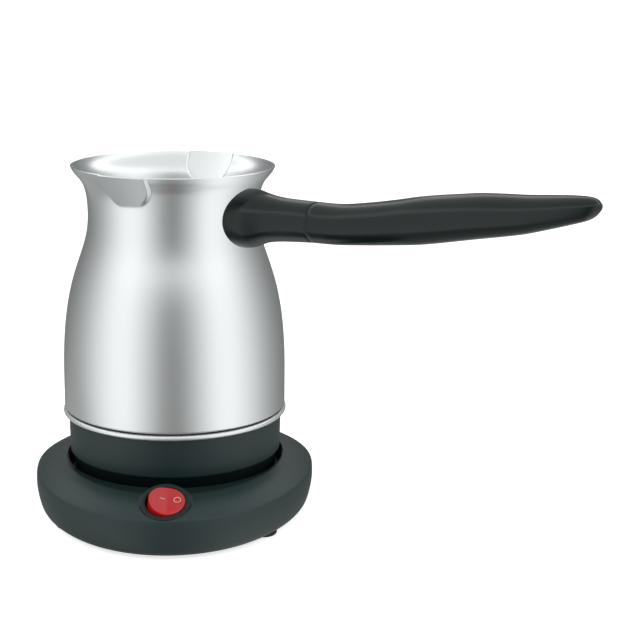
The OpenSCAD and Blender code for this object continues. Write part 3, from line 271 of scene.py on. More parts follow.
def charcoal_abs_with_painted_recess_shade():
    """The same ABS on the base, with painted shade: the recess under the pot is painted a darker charcoal."""
    material = charcoal_abs()
    tree = material.node_tree
    shader = tree.nodes["Principled BSDF"]
    # The painted shade of the recess lies within this radius, which is stretched in front, and between seat and
    # ledge
    radius, squeeze, middle, reach = 53.2 * MM, -0.182, 19.8 * MM, 4.9 * MM
    place = add_node(tree, "ShaderNodeTexCoord").outputs["Object"]
    axes = add_node(tree, "ShaderNodeSeparateXYZ", {0: place}).outputs
    front = add_node(tree, "ShaderNodeMath", {0: axes["Y"], 1: 0.0}, operation="MINIMUM")
    shrunk = add_node(tree, "ShaderNodeMath", {0: front.outputs[0], 1: squeeze, 2: axes["Y"]},
                      operation="MULTIPLY_ADD")
    plan = add_node(tree, "ShaderNodeCombineXYZ", {"X": axes["X"], "Y": shrunk.outputs[0]})
    away = add_node(tree, "ShaderNodeVectorMath", {0: plan.outputs[0]}, operation="LENGTH")
    inside = add_node(tree, "ShaderNodeMath", {0: away.outputs["Value"], 1: radius}, operation="LESS_THAN")
    low = add_node(tree, "ShaderNodeMath", {0: axes["Z"], 1: middle, 2: reach}, operation="COMPARE")
    recess = add_node(tree, "ShaderNodeMath", {0: inside.outputs[0], 1: low.outputs[0]}, operation="MULTIPLY")
    # Painted shade: inside the recess the charcoal is mixed to a darker colour, standing in for the shade under
    # the pot
    colour = add_node(tree, "ShaderNodeMix", {"Factor": recess.outputs[0], "A": sizes("finishes").charcoal,
                                              "B": linear("1a2828")}, data_type="RGBA")
    tree.links.new(colour.outputs["Result"], shader.inputs["Base Color"])
    return material


def black_phenolic():
    """Phenolic resin, pressed in a polished tool: near black with long clear highlights."""
    material, tree, shader = new_material(
        "Black phenolic", sizes("finishes").black, IOR=1.52, Specular_IOR_Level=0.28)
    grain(tree, shader, (90, 90, 90), 0.02 * MM, (0.16, 0.22))
    return material


def red_polycarbonate():
    """Clear red polycarbonate over the switch's lamp: glossy, a little light goes in, and a faint painted glow."""
    # The emission is a painted glow: the rocker glows faintly red, though no lit lamp is in the scene
    material, tree, shader = new_material(
        "Red polycarbonate", sizes("finishes").red, IOR=1.58, Subsurface_Weight=0.2,
        Subsurface_Scale=1.5 * MM, Emission_Color=sizes("finishes").red, Emission_Strength=0.12)
    shader.inputs["Subsurface Radius"].default_value = (1.0, 0.15, 0.15)
    grain(tree, shader, (120, 120, 120), 0.01 * MM, (0.12, 0.18))
    return material


def plain(name, code, rough, per_metre=800, depth=0.01, **constants):
    """A finish with fine spots of this many per metre."""
    def make():
        material, tree, shader = new_material(name, linear(code), **constants)
        grain(tree, shader, (per_metre,) * 3, depth * MM, (rough - 0.05, rough + 0.05))
        return material
    return make


# Finish of each material slot of the record, and of the base's moulding with the painted shade in its recess
FINISHES = {
    "satin_steel": satin_stainless_steel,
    "polished_steel": polished_stainless_steel,
    "charcoal_plastic": charcoal_abs,
    "base_plastic_painted_shade": charcoal_abs_with_painted_recess_shade,
    "black_gloss_plastic": black_phenolic,
    "red_plastic": red_polycarbonate,
    # Nitrile rubber, press moulded: matt and almost black
    "black_rubber": plain("Nitrile rubber", "1c1d1e", 0.75, 1500, 0.02),
    # Zinc-plated steel: pale metal, a little cloudy
    "zinc_steel": plain("Zinc-plated steel", "b9bcc0", 0.32, 400, 0.005, Metallic=1.0),
    # Stamped brass strip: warm metal with a rolled sheen
    "brass": plain("Brass strip", "d0a963", 0.28, 500, 0.005, Metallic=1.0),
    # Die-cast aluminium: pale metal with the tool's soft grain
    "aluminium": plain("Cast aluminium", "c4c6c9", 0.42, 900, 0.02, Metallic=1.0),
    # Glass-filled polyamide in its natural colour: chalky and milky
    "white_nylon": plain("Natural polyamide", "d8d3c2", 0.5, 1100, 0.01, Subsurface_Weight=0.1,
                         Subsurface_Scale=1 * MM),
    # Black phenolic moulding of the thermostat: dull and dark brown
    "dark_ceramic": plain("Phenolic moulding", "3a332f", 0.45, 1300, 0.01),
    # Lamp glass with the glow of the gas behind it
    "lamp_glass": plain("Lamp glass", "f3a878", 0.08, 100, 0.001, IOR=1.47, Transmission_Weight=0.6),
    # Extruded PVC insulation: smooth with a waxy sheen
    "brown_wire": plain("Brown PVC", "6a452c", 0.35, 300, 0.01),
    "black_wire": plain("Black PVC", "222325", 0.35, 300, 0.01),
    "blue_wire": plain("Blue PVC", "2d5aa0", 0.35, 300, 0.01),
    "green_wire": plain("Green PVC", "5f9437", 0.35, 300, 0.01),
    # Glass-fibre sleeve, braided: off-white and dry
    "glass_fibre_wire": plain("Glass-fibre sleeve", "d9d4c6", 0.7, 2500, 0.05),
}


# Materials made so far, by finish
MADE = {}


def finish_of(slot):
    """The material of this finish, made at its first use."""
    if slot not in MADE:
        MADE[slot] = FINISHES[slot]()
    return MADE[slot]


# ---- Meshes ----

def smooth_rows(rows, steps):
    """The rows of numbers with smooth rows between them, on a Catmull-Rom spline."""
    path = []
    for i in range(len(rows) - 1):
        a, b, c, d = rows[max(i - 1, 0)], rows[i], rows[i + 1], rows[min(i + 2, len(rows) - 1)]
        for step in range(steps):
            t = step / steps
            path.append([
                (2 * q + (r - p) * t + (2 * p - 5 * q + 4 * r - s) * t * t
                 + (3 * q - p - 3 * r + s) * t ** 3) / 2
                for p, q, r, s in zip(a, b, c, d)])
    path.append(list(rows[-1]))
    return path


def rounded(corners, steps=4):
    """A path through corners, each a point and the length that its rounding takes off both sides."""
    path = []
    for i, (point, cut) in enumerate(corners):
        here = Vector(point)
        if not cut:
            path.append(here)
            continue
        before = Vector(corners[i - 1][0])
        after = Vector(corners[(i + 1) % len(corners)][0])
        start = here + (before - here).normalized() * cut
        end = here + (after - here).normalized() * cut
        for step in range(steps + 1):
            t = step / steps
            path.append(start.lerp(here, t).lerp(here.lerp(end, t), t))
    return path


def lathe(outline, arcs, closed):
    """Turns an outline of (radius, height) points about Z through arcs of (angle, steps)."""
    bm = bmesh.new()
    verts = [bm.verts.new((radius, 0, height)) for radius, height in outline]
    edges = [bm.edges.new(pair) for pair in zip(verts, verts[1:])]
    if closed:
        edges.append(bm.edges.new((verts[-1], verts[0])))
    geom = verts + edges
    for angle, steps in arcs:
        geom = bmesh.ops.spin(bm, geom=geom, axis=(0, 0, 1), angle=angle, steps=steps)["geom_last"]
    bmesh.ops.remove_doubles(bm, verts=bm.verts, dist=WELD)
    bmesh.ops.recalc_face_normals(bm, faces=bm.faces)
    return bm


def loft(rows, sides=64):
    """A closed sweep of ellipses that stand across X: place, height, half width and half height."""
    bm = bmesh.new()
    ring = bmesh.ops.create_circle(bm, cap_ends=True, radius=1, segments=sides,
                                   matrix=Matrix.Rotation(math.pi / 2, 4, "Y"))["verts"]
    last = Matrix.Identity(4)
    for place, height, half_width, half_height in rows:
        if place != rows[0][0]:
            edges = [edge for edge in {e for v in ring for e in v.link_edges}
                     if edge.verts[0] in ring and edge.verts[1] in ring]
            grown = bmesh.ops.extrude_edge_only(bm, edges=edges)["geom"]
            ring = [item for item in grown if isinstance(item, bmesh.types.BMVert)]
        spot = Matrix.Translation((place, 0, height)) @ Matrix.Diagonal((1, half_width, half_height, 1))
        bmesh.ops.transform(bm, matrix=spot @ last.inverted(), verts=ring)
        last = spot
    bmesh.ops.holes_fill(bm, edges=bm.edges)
    bmesh.ops.recalc_face_normals(bm, faces=bm.faces)
    return bm


def settle(obj):
    """Applies the object's modifiers."""
    graph = bpy.context.evaluated_depsgraph_get()
    mesh = bpy.data.meshes.new_from_object(obj.evaluated_get(graph))
    old = obj.data
    obj.modifiers.clear()
    obj.data = mesh
    bpy.data.meshes.remove(old)


def plain_object(name, bm):
    """An object with this mesh, at the origin."""
    mesh = bpy.data.meshes.new(name)
    bm.to_mesh(mesh)
    bm.free()
    obj = bpy.data.objects.new(name, mesh)
    bpy.context.scene.collection.objects.link(obj)
    return obj


def carve(obj, bm, operation="DIFFERENCE"):
    """Takes a closed shape off the object, or joins it to it."""
    tool = plain_object("tool", bm)
    cutter = obj.modifiers.new("carve", "BOOLEAN")
    cutter.object = tool
    cutter.operation = operation
    cutter.solver = "EXACT"
    settle(obj)
    bpy.data.objects.remove(tool)


def finish_piece(obj, body, slot, replaced=(), sharp=35, finish=None):
    """Smooth shading up to an angle, the material, the body to ride on and the nodes it stands for.

    The finish is the slot's own where no other one is named.
    """
    obj.data.shade_smooth()
    obj.data.set_sharp_from_angle(angle=math.radians(sharp))
    obj.data.materials.clear()
    obj.data.materials.append(finish_of(finish or slot))
    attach(obj, body)
    if replaced:
        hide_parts(*replaced)
    return obj


def bore(radius, start, end):
    """A round bar along Z, to cut or to join."""
    return lathe([(0, start), (radius, start), (radius, end), (0, end)], [(FULL_TURN, 96)], False)


def moved(bm, *matrices):
    """The mesh after these matrices, the last one first."""
    whole = Matrix.Identity(4)
    for matrix in matrices:
        whole = whole @ matrix
    bmesh.ops.transform(bm, matrix=whole, verts=bm.verts)
    return bm


def along_x():
    """Lays what stands on Z along X."""
    return Matrix.Rotation(math.pi / 2, 4, "Y")


def at_switch():
    """Place of the switch's face, over the rocker's pivot."""
    pivot = Vector(ROCKER_JOINT["pos_m"])
    tilt = Matrix.Rotation(sizes("switch").tilt, 4, "X")
    return Matrix.Translation(pivot) @ tilt @ Matrix.Translation((0, 0, PIVOT_DEPTH))


def along_handle():
    """Turns what lies along X into the handle's direction."""
    return Matrix.Rotation(sizes("handle").turn, 4, "Z")


# ---- Operators ----

class COFFEE_OT_small_pieces(bpy.types.Operator):
    """Dress every piece whose solid has the right shape: small pieces, fasteners, contacts and wires"""
    bl_idname = "coffee.small_pieces"
    bl_label = "Small pieces"

    def execute(self, context):
        for part in frame["record"]["subparts"]:
            node, slot = part["node"], part["material_slot"]
            if node in SHAPED:
                continue
            source = frame["nodes"][node]
            bm = bmesh.new()
            bm.from_mesh(source.data)
            bmesh.ops.remove_doubles(bm, verts=bm.verts, dist=WELD)
            obj = plain_object(node + "_piece", bm)
            finish_piece(obj, source["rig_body"], slot, [node])
        return {"FINISHED"}


def pot_outline(corner_steps=6, body_steps=30, flare_steps=44):
    """Outer outline of the pot from the middle of its bottom to the rim."""
    pot = sizes("pot")
    bottom, rim = VESSEL_LOW.z, VESSEL_HIGH.z
    neck = bottom + pot.neck_height
    belly = bottom + pot.belly_height
    rise, flare = neck - belly, rim - neck
    corner = [
        Vector((pot.belly_radius, bottom + pot.corner)) + pot.corner * Vector((math.cos(a) - 1, math.sin(a)))
        for a in [math.radians(-90 + 90 * i / corner_steps) for i in range(corner_steps + 1)]]
    body = interpolate_bezier(
        Vector((pot.belly_radius, belly)), Vector((pot.belly_radius, belly + 0.68 * rise)),
        Vector((pot.neck_radius, neck - 0.28 * rise)), Vector((pot.neck_radius, neck)), body_steps)
    lean = math.radians(20)
    top = Vector((pot.rim_radius, rim))
    lip = interpolate_bezier(
        Vector((pot.neck_radius, neck)), Vector((pot.neck_radius, neck + 0.82 * flare)),
        top - 0.31 * flare * Vector((math.sin(lean), math.cos(lean))), top, flare_steps)
    return [Vector((0, bottom))] + corner + body + lip[1:]


def lip_turns():
    """Directions of the front and the rear lip."""
    turn, pot = sizes("handle").turn, sizes("pot")
    return turn + pot.front_lip, turn + pot.rear_lip


def press_lips(bm):
    """Presses the two half-round pouring lips out of the flared rim."""
    pot = sizes("pot")
    rim = VESSEL_HIGH.z
    foot = rim - pot.lip_depth
    middle = foot + pot.lip_radius
    slope = (pot.rim_radius + pot.lip_out - pot.neck_radius) / pot.lip_depth
    edge = 1.2 * MM
    for vert in bm.verts:
        radius = math.hypot(vert.co.x, vert.co.y)
        if vert.co.z < foot or radius < pot.neck_radius - WELD:
            continue
        for turn in lip_turns():
            away = math.atan2(vert.co.y, vert.co.x) - turn
            if math.cos(away) < 0:
                continue
            side = radius * math.sin(away)
            below = max(middle - vert.co.z, 0)
            inside = (pot.lip_radius - math.hypot(side, below)) / edge
            share = min(max(inside, 0), 1)
            share = share * share * (3 - 2 * share)
            wanted = pot.neck_radius + (vert.co.z - foot) * slope
            grown = radius + share * max(wanted - radius, 0)
            vert.co.x *= grown / radius
            vert.co.y *= grown / radius


class COFFEE_OT_vessel(bpy.types.Operator):
    """Build the steel vessel: turned outline, two pressed pouring lips and sheet thickness"""
    bl_idname = "coffee.vessel"
    bl_label = "Vessel"

    def execute(self, context):
        wide = math.radians(44)
        front, rear = lip_turns()
        between = rear - front - wide
        around = FULL_TURN - 2 * wide - between
        bm = lathe(pot_outline(), [(wide, 132), (between, 60), (wide, 132), (around, 60)], False)
        moved(bm, Matrix.Rotation(front - wide / 2, 4, "Z"))
        press_lips(bm)
        # The open sheet may come out inside out, and its thickness has to go inwards
        bottom = min(bm.faces, key=lambda face: face.calc_center_median().z)
        if bottom.normal.z > 0:
            bmesh.ops.reverse_faces(bm, faces=bm.faces)
        obj = plain_object("vessel_piece", bm)
        sheet = obj.modifiers.new("sheet", "SOLIDIFY")
        sheet.thickness = sizes("pot").wall
        sheet.offset = -1
        sheet.use_even_offset = True
        settle(obj)
        finish_piece(obj, "pot", "satin_steel", ["vessel"], sharp=50)
        return {"FINISHED"}


class COFFEE_OT_trim_ring(bpy.types.Operator):
    """Build the polished bead between vessel and skirt"""
    bl_idname = "coffee.trim_ring"
    bl_label = "Trim ring"

    def execute(self, context):
        top, bottom = RING_HIGH.z, RING_LOW.z
        radius = (top - bottom) / 2
        middle = (top + bottom) / 2
        centre = RING_HIGH.x - radius
        bead = [(centre + radius * math.sin(a), middle - radius * math.cos(a))
                for a in [math.pi * i / 16 for i in range(17)]]
        inner = 46.5 * MM
        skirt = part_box("skirt")[1]
        over = skirt.x + 0.3 * MM
        outline = [(inner, top), (inner, skirt.z), (over, skirt.z), (over, bottom)] + bead
        bm = lathe(outline, [(FULL_TURN, 192)], True)
        obj = plain_object("trim_ring_piece", bm)
        finish_piece(obj, "pot", "polished_steel", ["trim_ring"])
        return {"FINISHED"}


def neck_rows():
    """Place, height, half width and half height of the neck piece, from the pot outwards."""
    handle = sizes("handle")
    n, z, f = handle.root / MM, handle.height / MM, handle.flange / MM
    rows = smooth_rows([
        (n - 6, z - 0.3, f, f - 0.3), (n + 0.5, z - 0.2, f, f - 0.3), (n + 4.5, z - 0.1, f, f - 0.3),
        (n + 8, z + 0.1, f - 0.5, f - 0.8), (n + 11, z + 0.4, f - 1.4, f - 1.8),
        (n + 14, z + 0.7, f - 2.4, f - 2.7), (n + 18, z + 0.9, f - 3.4, f - 3.5),
        (n + 25, z + 1.1, f - 4.3, f - 4.2), (handle.seam / MM - 0.6, z + 1.6, f - 4.8, f - 4.8)], 6)
    rows.append((handle.seam / MM - 0.3, z + 1.6, f - 4.9, f - 4.9))
    rows.append((handle.seam / MM - 0.15, z + 1.6, f - 5.2, f - 5.2))
    return rows


def grip_rows():
    """Place, height, half width and half height of the grip, from the seam to the tip."""
    handle = sizes("handle")
    seam, root, rise = handle.seam / MM, handle.height / MM, handle.rise / MM
    length = handle.tip / MM - seam
    scale = (handle.flange / MM - 4.8) / 9.4
    shape = smooth_rows([
        (0.004, 0, 9.4, 9.4), (0.1, 0.02, 9.5, 9.3), (0.2, 0.1, 9.9, 9.6), (0.3, 0.2, 10.3, 10.1),
        (0.38, 0.29, 10.7, 10.6), (0.45, 0.37, 10.9, 10.6), (0.52, 0.45, 10.9, 10.3),
        (0.6, 0.54, 10.7, 9.9), (0.68, 0.61, 10.3, 9.2), (0.76, 0.68, 9.7, 8.3), (0.84, 0.78, 8.9, 7.2),
        (0.91, 0.87, 7.7, 6.1), (0.96, 0.93, 6.1, 5), (0.985, 0.965, 4.4, 3.6), (1, 0.985, 2, 1.5)], 5)
    rows = [(seam + share * length, root + 1.6 + up * (rise - 1.6), width * scale, height * scale)
            for share, up, width, height in shape]
    start = [(seam + 0.15, root + 1.6, 9 * scale, 9 * scale),
             (seam + 0.3, root + 1.6, 9.3 * scale, 9.3 * scale)]
    return start + rows


def in_metres(rows):
    """Rows of millimetres in metres."""
    return [[value * MM for value in row] for row in rows]


class COFFEE_OT_handle(bpy.types.Operator):
    """Build the two black pieces of the handle, with the seam between them"""
    bl_idname = "coffee.handle"
    bl_label = "Handle"

    def execute(self, context):
        handle = sizes("handle")
        root, seam = handle.root / MM, handle.seam / MM
        stud = Matrix.Translation((0, 0, handle.height + 1 * MM))
        neck = plain_object("handle_neck_piece", moved(loft(in_metres(neck_rows())), along_handle()))
        outline = [Vector((r + 0.1 * MM, z)) for r, z in pot_outline(2, 16, 16)[1:]]
        full = lathe([(0, outline[0].y)] + outline + [(0, outline[-1].y)], [(FULL_TURN, 160)], False)
        carve(neck, full)
        # Room for the bracket, its boss and the stud: radius, start and end
        for radius, start, end in ((9.3, 20, root + 3.4), (4.8, 41, root + 12.3), (2.8, 41, 82)):
            carve(neck, moved(bore(radius * MM, start * MM, end * MM), along_handle(), stud, along_x()))
        finish_piece(neck, "pot", "black_gloss_plastic", ["handle_neck"], sharp=40)
        grip = plain_object("handle_grip_piece", moved(loft(in_metres(grip_rows())), along_handle()))
        # Room for the insert and the stud's end: radius and end
        for radius, end in ((4.5, 97.1), (2.8, 103.1)):
            carve(grip, moved(bore(radius * MM, (seam - 1) * MM, end * MM), along_handle(), stud, along_x()))
        finish_piece(grip, "pot", "black_gloss_plastic", ["handle_grip"], sharp=40)
        # The steel doesn't mirror the handle and the metal inside it
        for name in ("handle_neck", "handle_grip", "handle_bracket", "handle_stud", "handle_insert"):
            bpy.data.objects[name + "_piece"].visible_glossy = False
        return {"FINISHED"}


def stretched(rows, steps):
    """Turns rows of (radius, front reach, height) into the egg-shaped plan of the base."""
    bm = bmesh.new()
    reach = bm.verts.layers.float.new("reach")
    verts = []
    for radius, ahead, height in rows:
        vert = bm.verts.new((radius, 0, height))
        vert[reach] = ahead / radius
        verts.append(vert)
    edges = [bm.edges.new((a, b)) for a, b in zip(verts, verts[1:] + verts[:1])]
    bmesh.ops.spin(bm, geom=verts + edges, axis=(0, 0, 1), angle=FULL_TURN, steps=steps, use_merge=True)
    bmesh.ops.remove_doubles(bm, verts=bm.verts, dist=WELD)
    for vert in bm.verts:
        if vert.co.y < 0:
            vert.co.y *= 1 + vert[reach]
    bmesh.ops.recalc_face_normals(bm, faces=bm.faces)
    return bm


def base_rows():
    """Closed section of the base: radius, front reach and height."""
    base = sizes("base")
    r, f = base.radius / MM, base.reach / MM
    crease, top, recess, seat, wall = (
        value / MM for value in (base.crease, base.top, base.recess, base.seat, base.wall))
    low = BASE_LOW.z / MM
    lip, ahead, ledge = recess + 0.7, 11.9, top - 1.5
    under = seat - 2
    hole = 17.3
    side = smooth_rows([(r - 3.7, f, low + 0.5), (r - 2, f, low + 2.4), (r - 0.7, f, low + 7),
                        (r, f, low + 12), (r - 0.1, f, crease - 1.6)], 5)
    slope = smooth_rows([(r - 1.5, f, crease + 0.8), (r - 5.2, f - 1, crease + 2.8),
                         (r - 9.6, f - 3, crease + 4.4), (lip + 0.6, ahead + 0.4, top - 0.05)], 8)
    outside = [((r - 4.4, f, low), 0)] + [(row, 0) for row in side]
    outside += [((r - 0.35, f, crease), 0.8)] + [(row, 0) for row in slope]
    inner = [((lip - 0.4, ahead, top), 0.35), ((recess + 0.2, ahead, ledge), 0.3), ((recess, 0, ledge), 0.3),
             ((recess, 0, seat), 0.6), ((hole, 0, seat), 0.3), ((hole, 0, under), 0.3),
             ((recess + 2, 0, under), 0), ((recess + 2, 0, ledge - wall), 0),
             ((lip + wall, ahead, ledge - wall), 0), ((lip + wall, ahead, top - wall - 0.2), 0)]
    back = [((r - 9.6 - 0.7, f - 3, crease + 4.4 - wall), 0), ((r - 5.2 - 1, f - 1, crease + 2.8 - wall), 0),
            ((r - 2.6, f, crease - 0.9), 0), ((r - wall, f, low + 12), 0), ((r - 0.7 - wall, f, low + 7), 0),
            ((r - 2 - wall, f, low + 2.4), 0), ((r - 4 - wall, f, low), 0)]
    return in_metres(rounded(outside + inner + back))


class COFFEE_OT_base_shell(bpy.types.Operator):
    """Build the egg-shaped base with its crescent ledge, the switch's boss and the cord's hole"""
    bl_idname = "coffee.base_shell"
    bl_label = "Base shell"

    def execute(self, context):
        obj = plain_object("base_shell_piece", stretched(base_rows(), 240))
        radius = sizes("switch").bezel / 2
        outline = rounded([((0, -9 * MM), 0), ((radius + 1.1 * MM, -9 * MM), 0),
                           ((radius + 1.1 * MM, -1.8 * MM), 0.5 * MM), ((0, -1.8 * MM), 0)])
        boss = lathe(outline, [(FULL_TURN, 96)], False)
        carve(obj, moved(boss, at_switch()), "UNION")
        hole = [(0, -15), (10.9, -15), (10.9, -4.2), (10.25, -4.2), (10.25, -1.8), (11.65, -1.8),
                (11.65, 3.6), (0, 3.6)]
        carve(obj, moved(lathe([(r * MM, z * MM) for r, z in hole], [(FULL_TURN, 96)], False), at_switch()))
        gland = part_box("cord_gland")
        middle = (gland[0] + gland[1]) / 2
        cord = [(0, 63.1), (6.7, 63.1), (6.7, 65), (5.3, 65), (5.3, 67.2), (6.7, 67.2), (6.7, 72), (0, 72)]
        tool = lathe([(r * MM, y * MM) for r, y in cord], [(FULL_TURN, 64)], False)
        carve(obj, moved(tool, Matrix.Translation((0, 0, middle.z)), Matrix.Rotation(-math.pi / 2, 4, "X")))
        finish_piece(obj, "base", "charcoal_plastic", ["base_shell"], sharp=32, finish="base_plastic_painted_shade")
        return {"FINISHED"}


class COFFEE_OT_switch_housing(bpy.types.Operator):
    """Build the switch's bezel and body"""
    bl_idname = "coffee.switch_housing"
    bl_label = "Switch housing"

    def execute(self, context):
        radius = sizes("switch").bezel / 2 / MM
        outline = rounded([((9, -11.4), 0), ((9, 0), 0.4), ((radius, 0), 1), ((radius, -1.8), 0.2),
                           ((10.1, -1.8), 0), ((10.1, -13), 0), ((0, -13), 0), ((0, -11.4), 0)])
        bm = lathe([(r * MM, z * MM) for r, z in outline], [(FULL_TURN, 128)], True)
        obj = plain_object("switch_housing_piece", moved(bm, at_switch()))
        finish_piece(obj, "base", "black_gloss_plastic", ["switch_housing"])
        return {"FINISHED"}


def rocker_top(x):
    """Height of the rocker's face over its pivot, in millimetres: two slopes with a soft valley."""
    return 3.8 + 0.169 * (math.sqrt(x * x + 1) - 1)


class COFFEE_OT_rocker(bpy.types.Operator):
    """Build the red rocker with its printed marks"""
    bl_idname = "coffee.rocker"
    bl_label = "Rocker"

    def execute(self, context):
        radius = sizes("switch").rocker / 2 / MM
        place = (at_switch() @ Matrix.Translation((0, 0, -PIVOT_DEPTH))
                 @ Matrix.Rotation(sizes("switch").throw, 4, "Y"))
        rings = [(0, 0)] + [(radius * i / 12, 0) for i in range(1, 11)]
        rings += rounded([((radius - 0.9, 0), 0), ((radius, 0), 0.8), ((radius, -5), 0), ((0, -5), 0)])
        bm = lathe([(r, z) for r, z in rings], [(FULL_TURN, 96)], False)
        for vert in bm.verts:
            if vert.co.z > -4.9:
                vert.co.z += rocker_top(vert.co.x)
            else:
                vert.co.z = -1.4
        obj = plain_object("rocker_piece", moved(bm, place, Matrix.Scale(MM, 4)))
        finish_piece(obj, "rocker", "red_plastic", ["rocker"])
        ring = lathe([(1.35, 0), (1.62, 0), (1.62, 0.04), (1.35, 0.04)], [(FULL_TURN, 40)], True)
        for vert in moved(ring, Matrix.Translation((4.7, 0.7, 0))).verts:
            vert.co.z += rocker_top(vert.co.x)
        mark = plain_object("off_mark", moved(ring, place, Matrix.Scale(MM, 4)))
        finish_piece(mark, "rocker", "white_nylon")
        bm = lathe([(0, 0), (0.16, 0), (0.16, 0.04), (0, 0.04)], [(FULL_TURN, 16)], False)
        for vert in bm.verts:
            vert.co.x += math.copysign(1.05, vert.co.x) if abs(vert.co.x) > WELD else 0
        for vert in moved(bm, Matrix.Translation((-2, 0.8, 0))).verts:
            vert.co.z += rocker_top(vert.co.x)
        mark = plain_object("on_mark", moved(bm, place, Matrix.Scale(MM, 4)))
        finish_piece(mark, "rocker", "white_nylon")
        return {"FINISHED"}


def room_light(tree, direction):
    """Brightness of the room by direction: two soft boxes, dark wings, ceiling, a strip of light, a grey table."""
    axes = add_node(tree, "ShaderNodeSeparateXYZ", {0: direction}).outputs
    # Turn of a wall that mirrors this direction to the front, so that the bands stand upright on the pot
    ahead = add_node(tree, "ShaderNodeMath", {0: 0.97, 1: axes["Y"]}, operation="SUBTRACT")
    turn = add_node(tree, "ShaderNodeMath", {0: axes["X"], 1: ahead.outputs[0]}, operation="ARCTAN2")
    centred = add_node(tree, "ShaderNodeMath", {0: turn.outputs[0], 1: math.radians(1)}, operation="SUBTRACT")
    share = add_node(tree, "ShaderNodeMapRange",
                     {"Value": centred.outputs[0], "From Min": -math.pi / 2, "From Max": math.pi / 2,
                      "To Min": -1.0, "To Max": 1.0})
    side = add_node(tree, "ShaderNodeMath", {0: share.outputs[0]}, operation="ABSOLUTE")
    ramp = add_node(tree, "ShaderNodeValToRGB", {"Fac": side.outputs[0]})
    ramp.color_ramp.interpolation = "B_SPLINE"
    elements = ramp.color_ramp.elements
    for index, (place, level) in enumerate(WALL_LIGHT):
        element = elements[index] if index < 2 else elements.new(place)
        element.position = place
        element.color = (level, level, level, 1)

    ceiling = add_node(tree, "ShaderNodeMapRange",
                       {"Value": axes["Z"], "From Min": 0.45, "From Max": 0.85, "To Min": 0.0, "To Max": 1.0},
                       interpolation_type="SMOOTHSTEP")
    low = add_node(tree, "ShaderNodeVectorMath", {0: direction, 1: (-0.9, 1.0, -2.0)}, operation="DOT_PRODUCT")
    table = add_node(tree, "ShaderNodeMapRange",
                     {"Value": low.outputs["Value"], "From Min": 1.72, "From Max": 1.92, "To Min": 0.0,
                      "To Max": 1.0}, interpolation_type="SMOOTHSTEP")
    strip = add_node(tree, "ShaderNodeMath", {0: axes["Z"], 1: 0.6, 2: 0.09}, operation="COMPARE")
    light = ramp.outputs[0]
    for part, level in ((ceiling, CEILING_LIGHT), (table, TABLE_LIGHT), (strip, STRIP_LIGHT)):
        mix = add_node(tree, "ShaderNodeMix",
                       {"Factor": part.outputs[0], "A": light, "B": (level, level, level, 1)}, data_type="RGBA")
        light = mix.outputs["Result"]
    return light


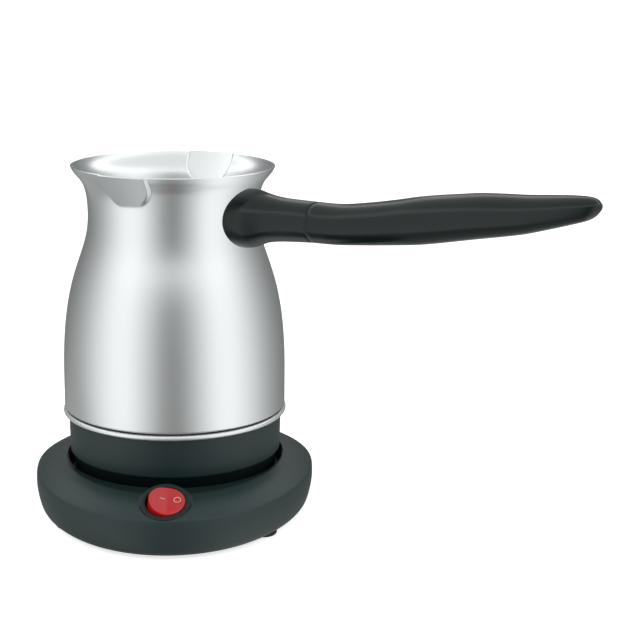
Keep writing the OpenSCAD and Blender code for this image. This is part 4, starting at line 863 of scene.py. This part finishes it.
class COFFEE_OT_stage(bpy.types.Operator):
    """Set the floor, the room's light, the lamps and the camera"""
    bl_idname = "coffee.stage"
    bl_label = "Stage"

    def execute(self, context):
        bm = bmesh.new()
        bmesh.ops.create_circle(bm, cap_ends=True, radius=12, segments=96)
        floor = plain_object("floor", bm)
        floor.visible_glossy = False
        material = bpy.data.materials.new("White paper floor")
        material.use_nodes = True
        tree = material.node_tree
        tree.nodes.clear()
        paper = add_node(tree, "ShaderNodeBsdfDiffuse", {"Color": (0.9, 0.9, 0.9, 1)})
        glow = add_node(tree, "ShaderNodeEmission", {"Color": (1, 1, 1, 1), "Strength": 0.7})
        both = add_node(tree, "ShaderNodeAddShader", {0: paper.outputs[0], 1: glow.outputs[0]})
        rays = add_node(tree, "ShaderNodeLightPath")
        seen = add_node(tree, "ShaderNodeMixShader",
                        {0: rays.outputs["Is Camera Ray"], 1: paper.outputs[0], 2: both.outputs[0]})
        add_node(tree, "ShaderNodeOutputMaterial", {"Surface": seen.outputs[0]})
        floor.data.materials.append(material)

        world = bpy.data.worlds.new("White room")
        context.scene.world = world
        world.use_nodes = True
        tree = world.node_tree
        tree.nodes.clear()
        rays = add_node(tree, "ShaderNodeLightPath")
        direction = add_node(tree, "ShaderNodeTexCoord").outputs["Object"]
        mirrored = add_node(tree, "ShaderNodeMath",
                            {0: rays.outputs["Is Glossy Ray"], 1: rays.outputs["Is Transmission Ray"]},
                            operation="MAXIMUM")
        light = add_node(tree, "ShaderNodeBackground", {"Color": (0.97, 1, 1, 1), "Strength": 0.6})
        seen = add_node(tree, "ShaderNodeBackground", {"Color": room_light(tree, direction), "Strength": 1.28})
        white = add_node(tree, "ShaderNodeBackground", {"Color": (1, 1, 1, 1), "Strength": 1.0})
        mixed = add_node(tree, "ShaderNodeMixShader",
                         {0: mirrored.outputs[0], 1: light.outputs[0], 2: seen.outputs[0]})
        all_rays = add_node(tree, "ShaderNodeMixShader",
                            {0: rays.outputs["Is Camera Ray"], 1: mixed.outputs[0], 2: white.outputs[0]})
        add_node(tree, "ShaderNodeOutputWorld", {"Surface": all_rays.outputs[0]})

        target = Vector((0.03, 0, 0.09))
        for name, (place, size, power) in LAMPS.items():
            lamp = bpy.data.lights.new(name, "AREA")
            lamp.shape = "SQUARE"
            lamp.size = size
            lamp.energy = power
            obj = bpy.data.objects.new(name, lamp)
            context.scene.collection.objects.link(obj)
            obj.location = place
            obj.visible_glossy = False
            obj.rotation_euler = (target - Vector(place)).to_track_quat("-Z", "Y").to_euler()

        lens = bpy.data.cameras.new("camera")
        lens.sensor_width = 36
        lens.lens = 84.375
        camera = bpy.data.objects.new("camera", lens)
        context.scene.collection.objects.link(camera)
        camera.location = CAMERA_PLACE
        about, up, roll = CAMERA_TURN
        turn = Matrix.Rotation(about, 4, "Z") @ Matrix.Rotation(up, 4, "X") @ Matrix.Rotation(roll, 4, "Z")
        camera.rotation_euler = turn.to_euler()
        context.scene.camera = camera
        context.scene.view_settings.view_transform = "Standard"
        return {"FINISHED"}


# Nodes that have an operator of their own
SHAPED = {"vessel", "trim_ring", "handle_neck", "handle_grip", "base_shell", "switch_housing", "rocker"}
GROUPS = {
    "pot": PotSizes, "handle": HandleSizes, "base": BaseSizes, "switch": SwitchSizes, "finishes": Finishes}
OPERATORS = (COFFEE_OT_small_pieces, COFFEE_OT_vessel, COFFEE_OT_trim_ring, COFFEE_OT_handle,
             COFFEE_OT_base_shell, COFFEE_OT_switch_housing, COFFEE_OT_rocker, COFFEE_OT_stage)


class COFFEE_PT_sidebar(bpy.types.Panel):
    """Sizes, colours and operators of the coffee maker"""
    bl_idname = "COFFEE_PT_sidebar"
    bl_label = "Turkish coffee maker"
    bl_space_type = "VIEW_3D"
    bl_region_type = "UI"
    bl_category = "Coffee maker"

    def draw(self, context):
        for name, group in GROUPS.items():
            box = self.layout.box()
            box.label(text=name.capitalize())
            for prop in group.__annotations__:
                box.prop(sizes(name), prop)
        for operator in OPERATORS:
            self.layout.operator(operator.bl_idname)


def register():
    for name, group in GROUPS.items():
        bpy.utils.register_class(group)
        setattr(bpy.types.Scene, "coffee_" + name, PointerProperty(type=group))
    for cls in (*OPERATORS, COFFEE_PT_sidebar):
        bpy.utils.register_class(cls)


def unregister():
    for cls in reversed((*OPERATORS, COFFEE_PT_sidebar)):
        bpy.utils.unregister_class(cls)
    for name, group in GROUPS.items():
        delattr(bpy.types.Scene, "coffee_" + name)
        bpy.utils.unregister_class(group)


def main():
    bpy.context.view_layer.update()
    register()
    bpy.ops.coffee.small_pieces()
    bpy.ops.coffee.vessel()
    bpy.ops.coffee.trim_ring()
    bpy.ops.coffee.handle()
    bpy.ops.coffee.base_shell()
    bpy.ops.coffee.switch_housing()
    bpy.ops.coffee.rocker()
    bpy.ops.coffee.stage()


if __name__ == "__main__":
    main()
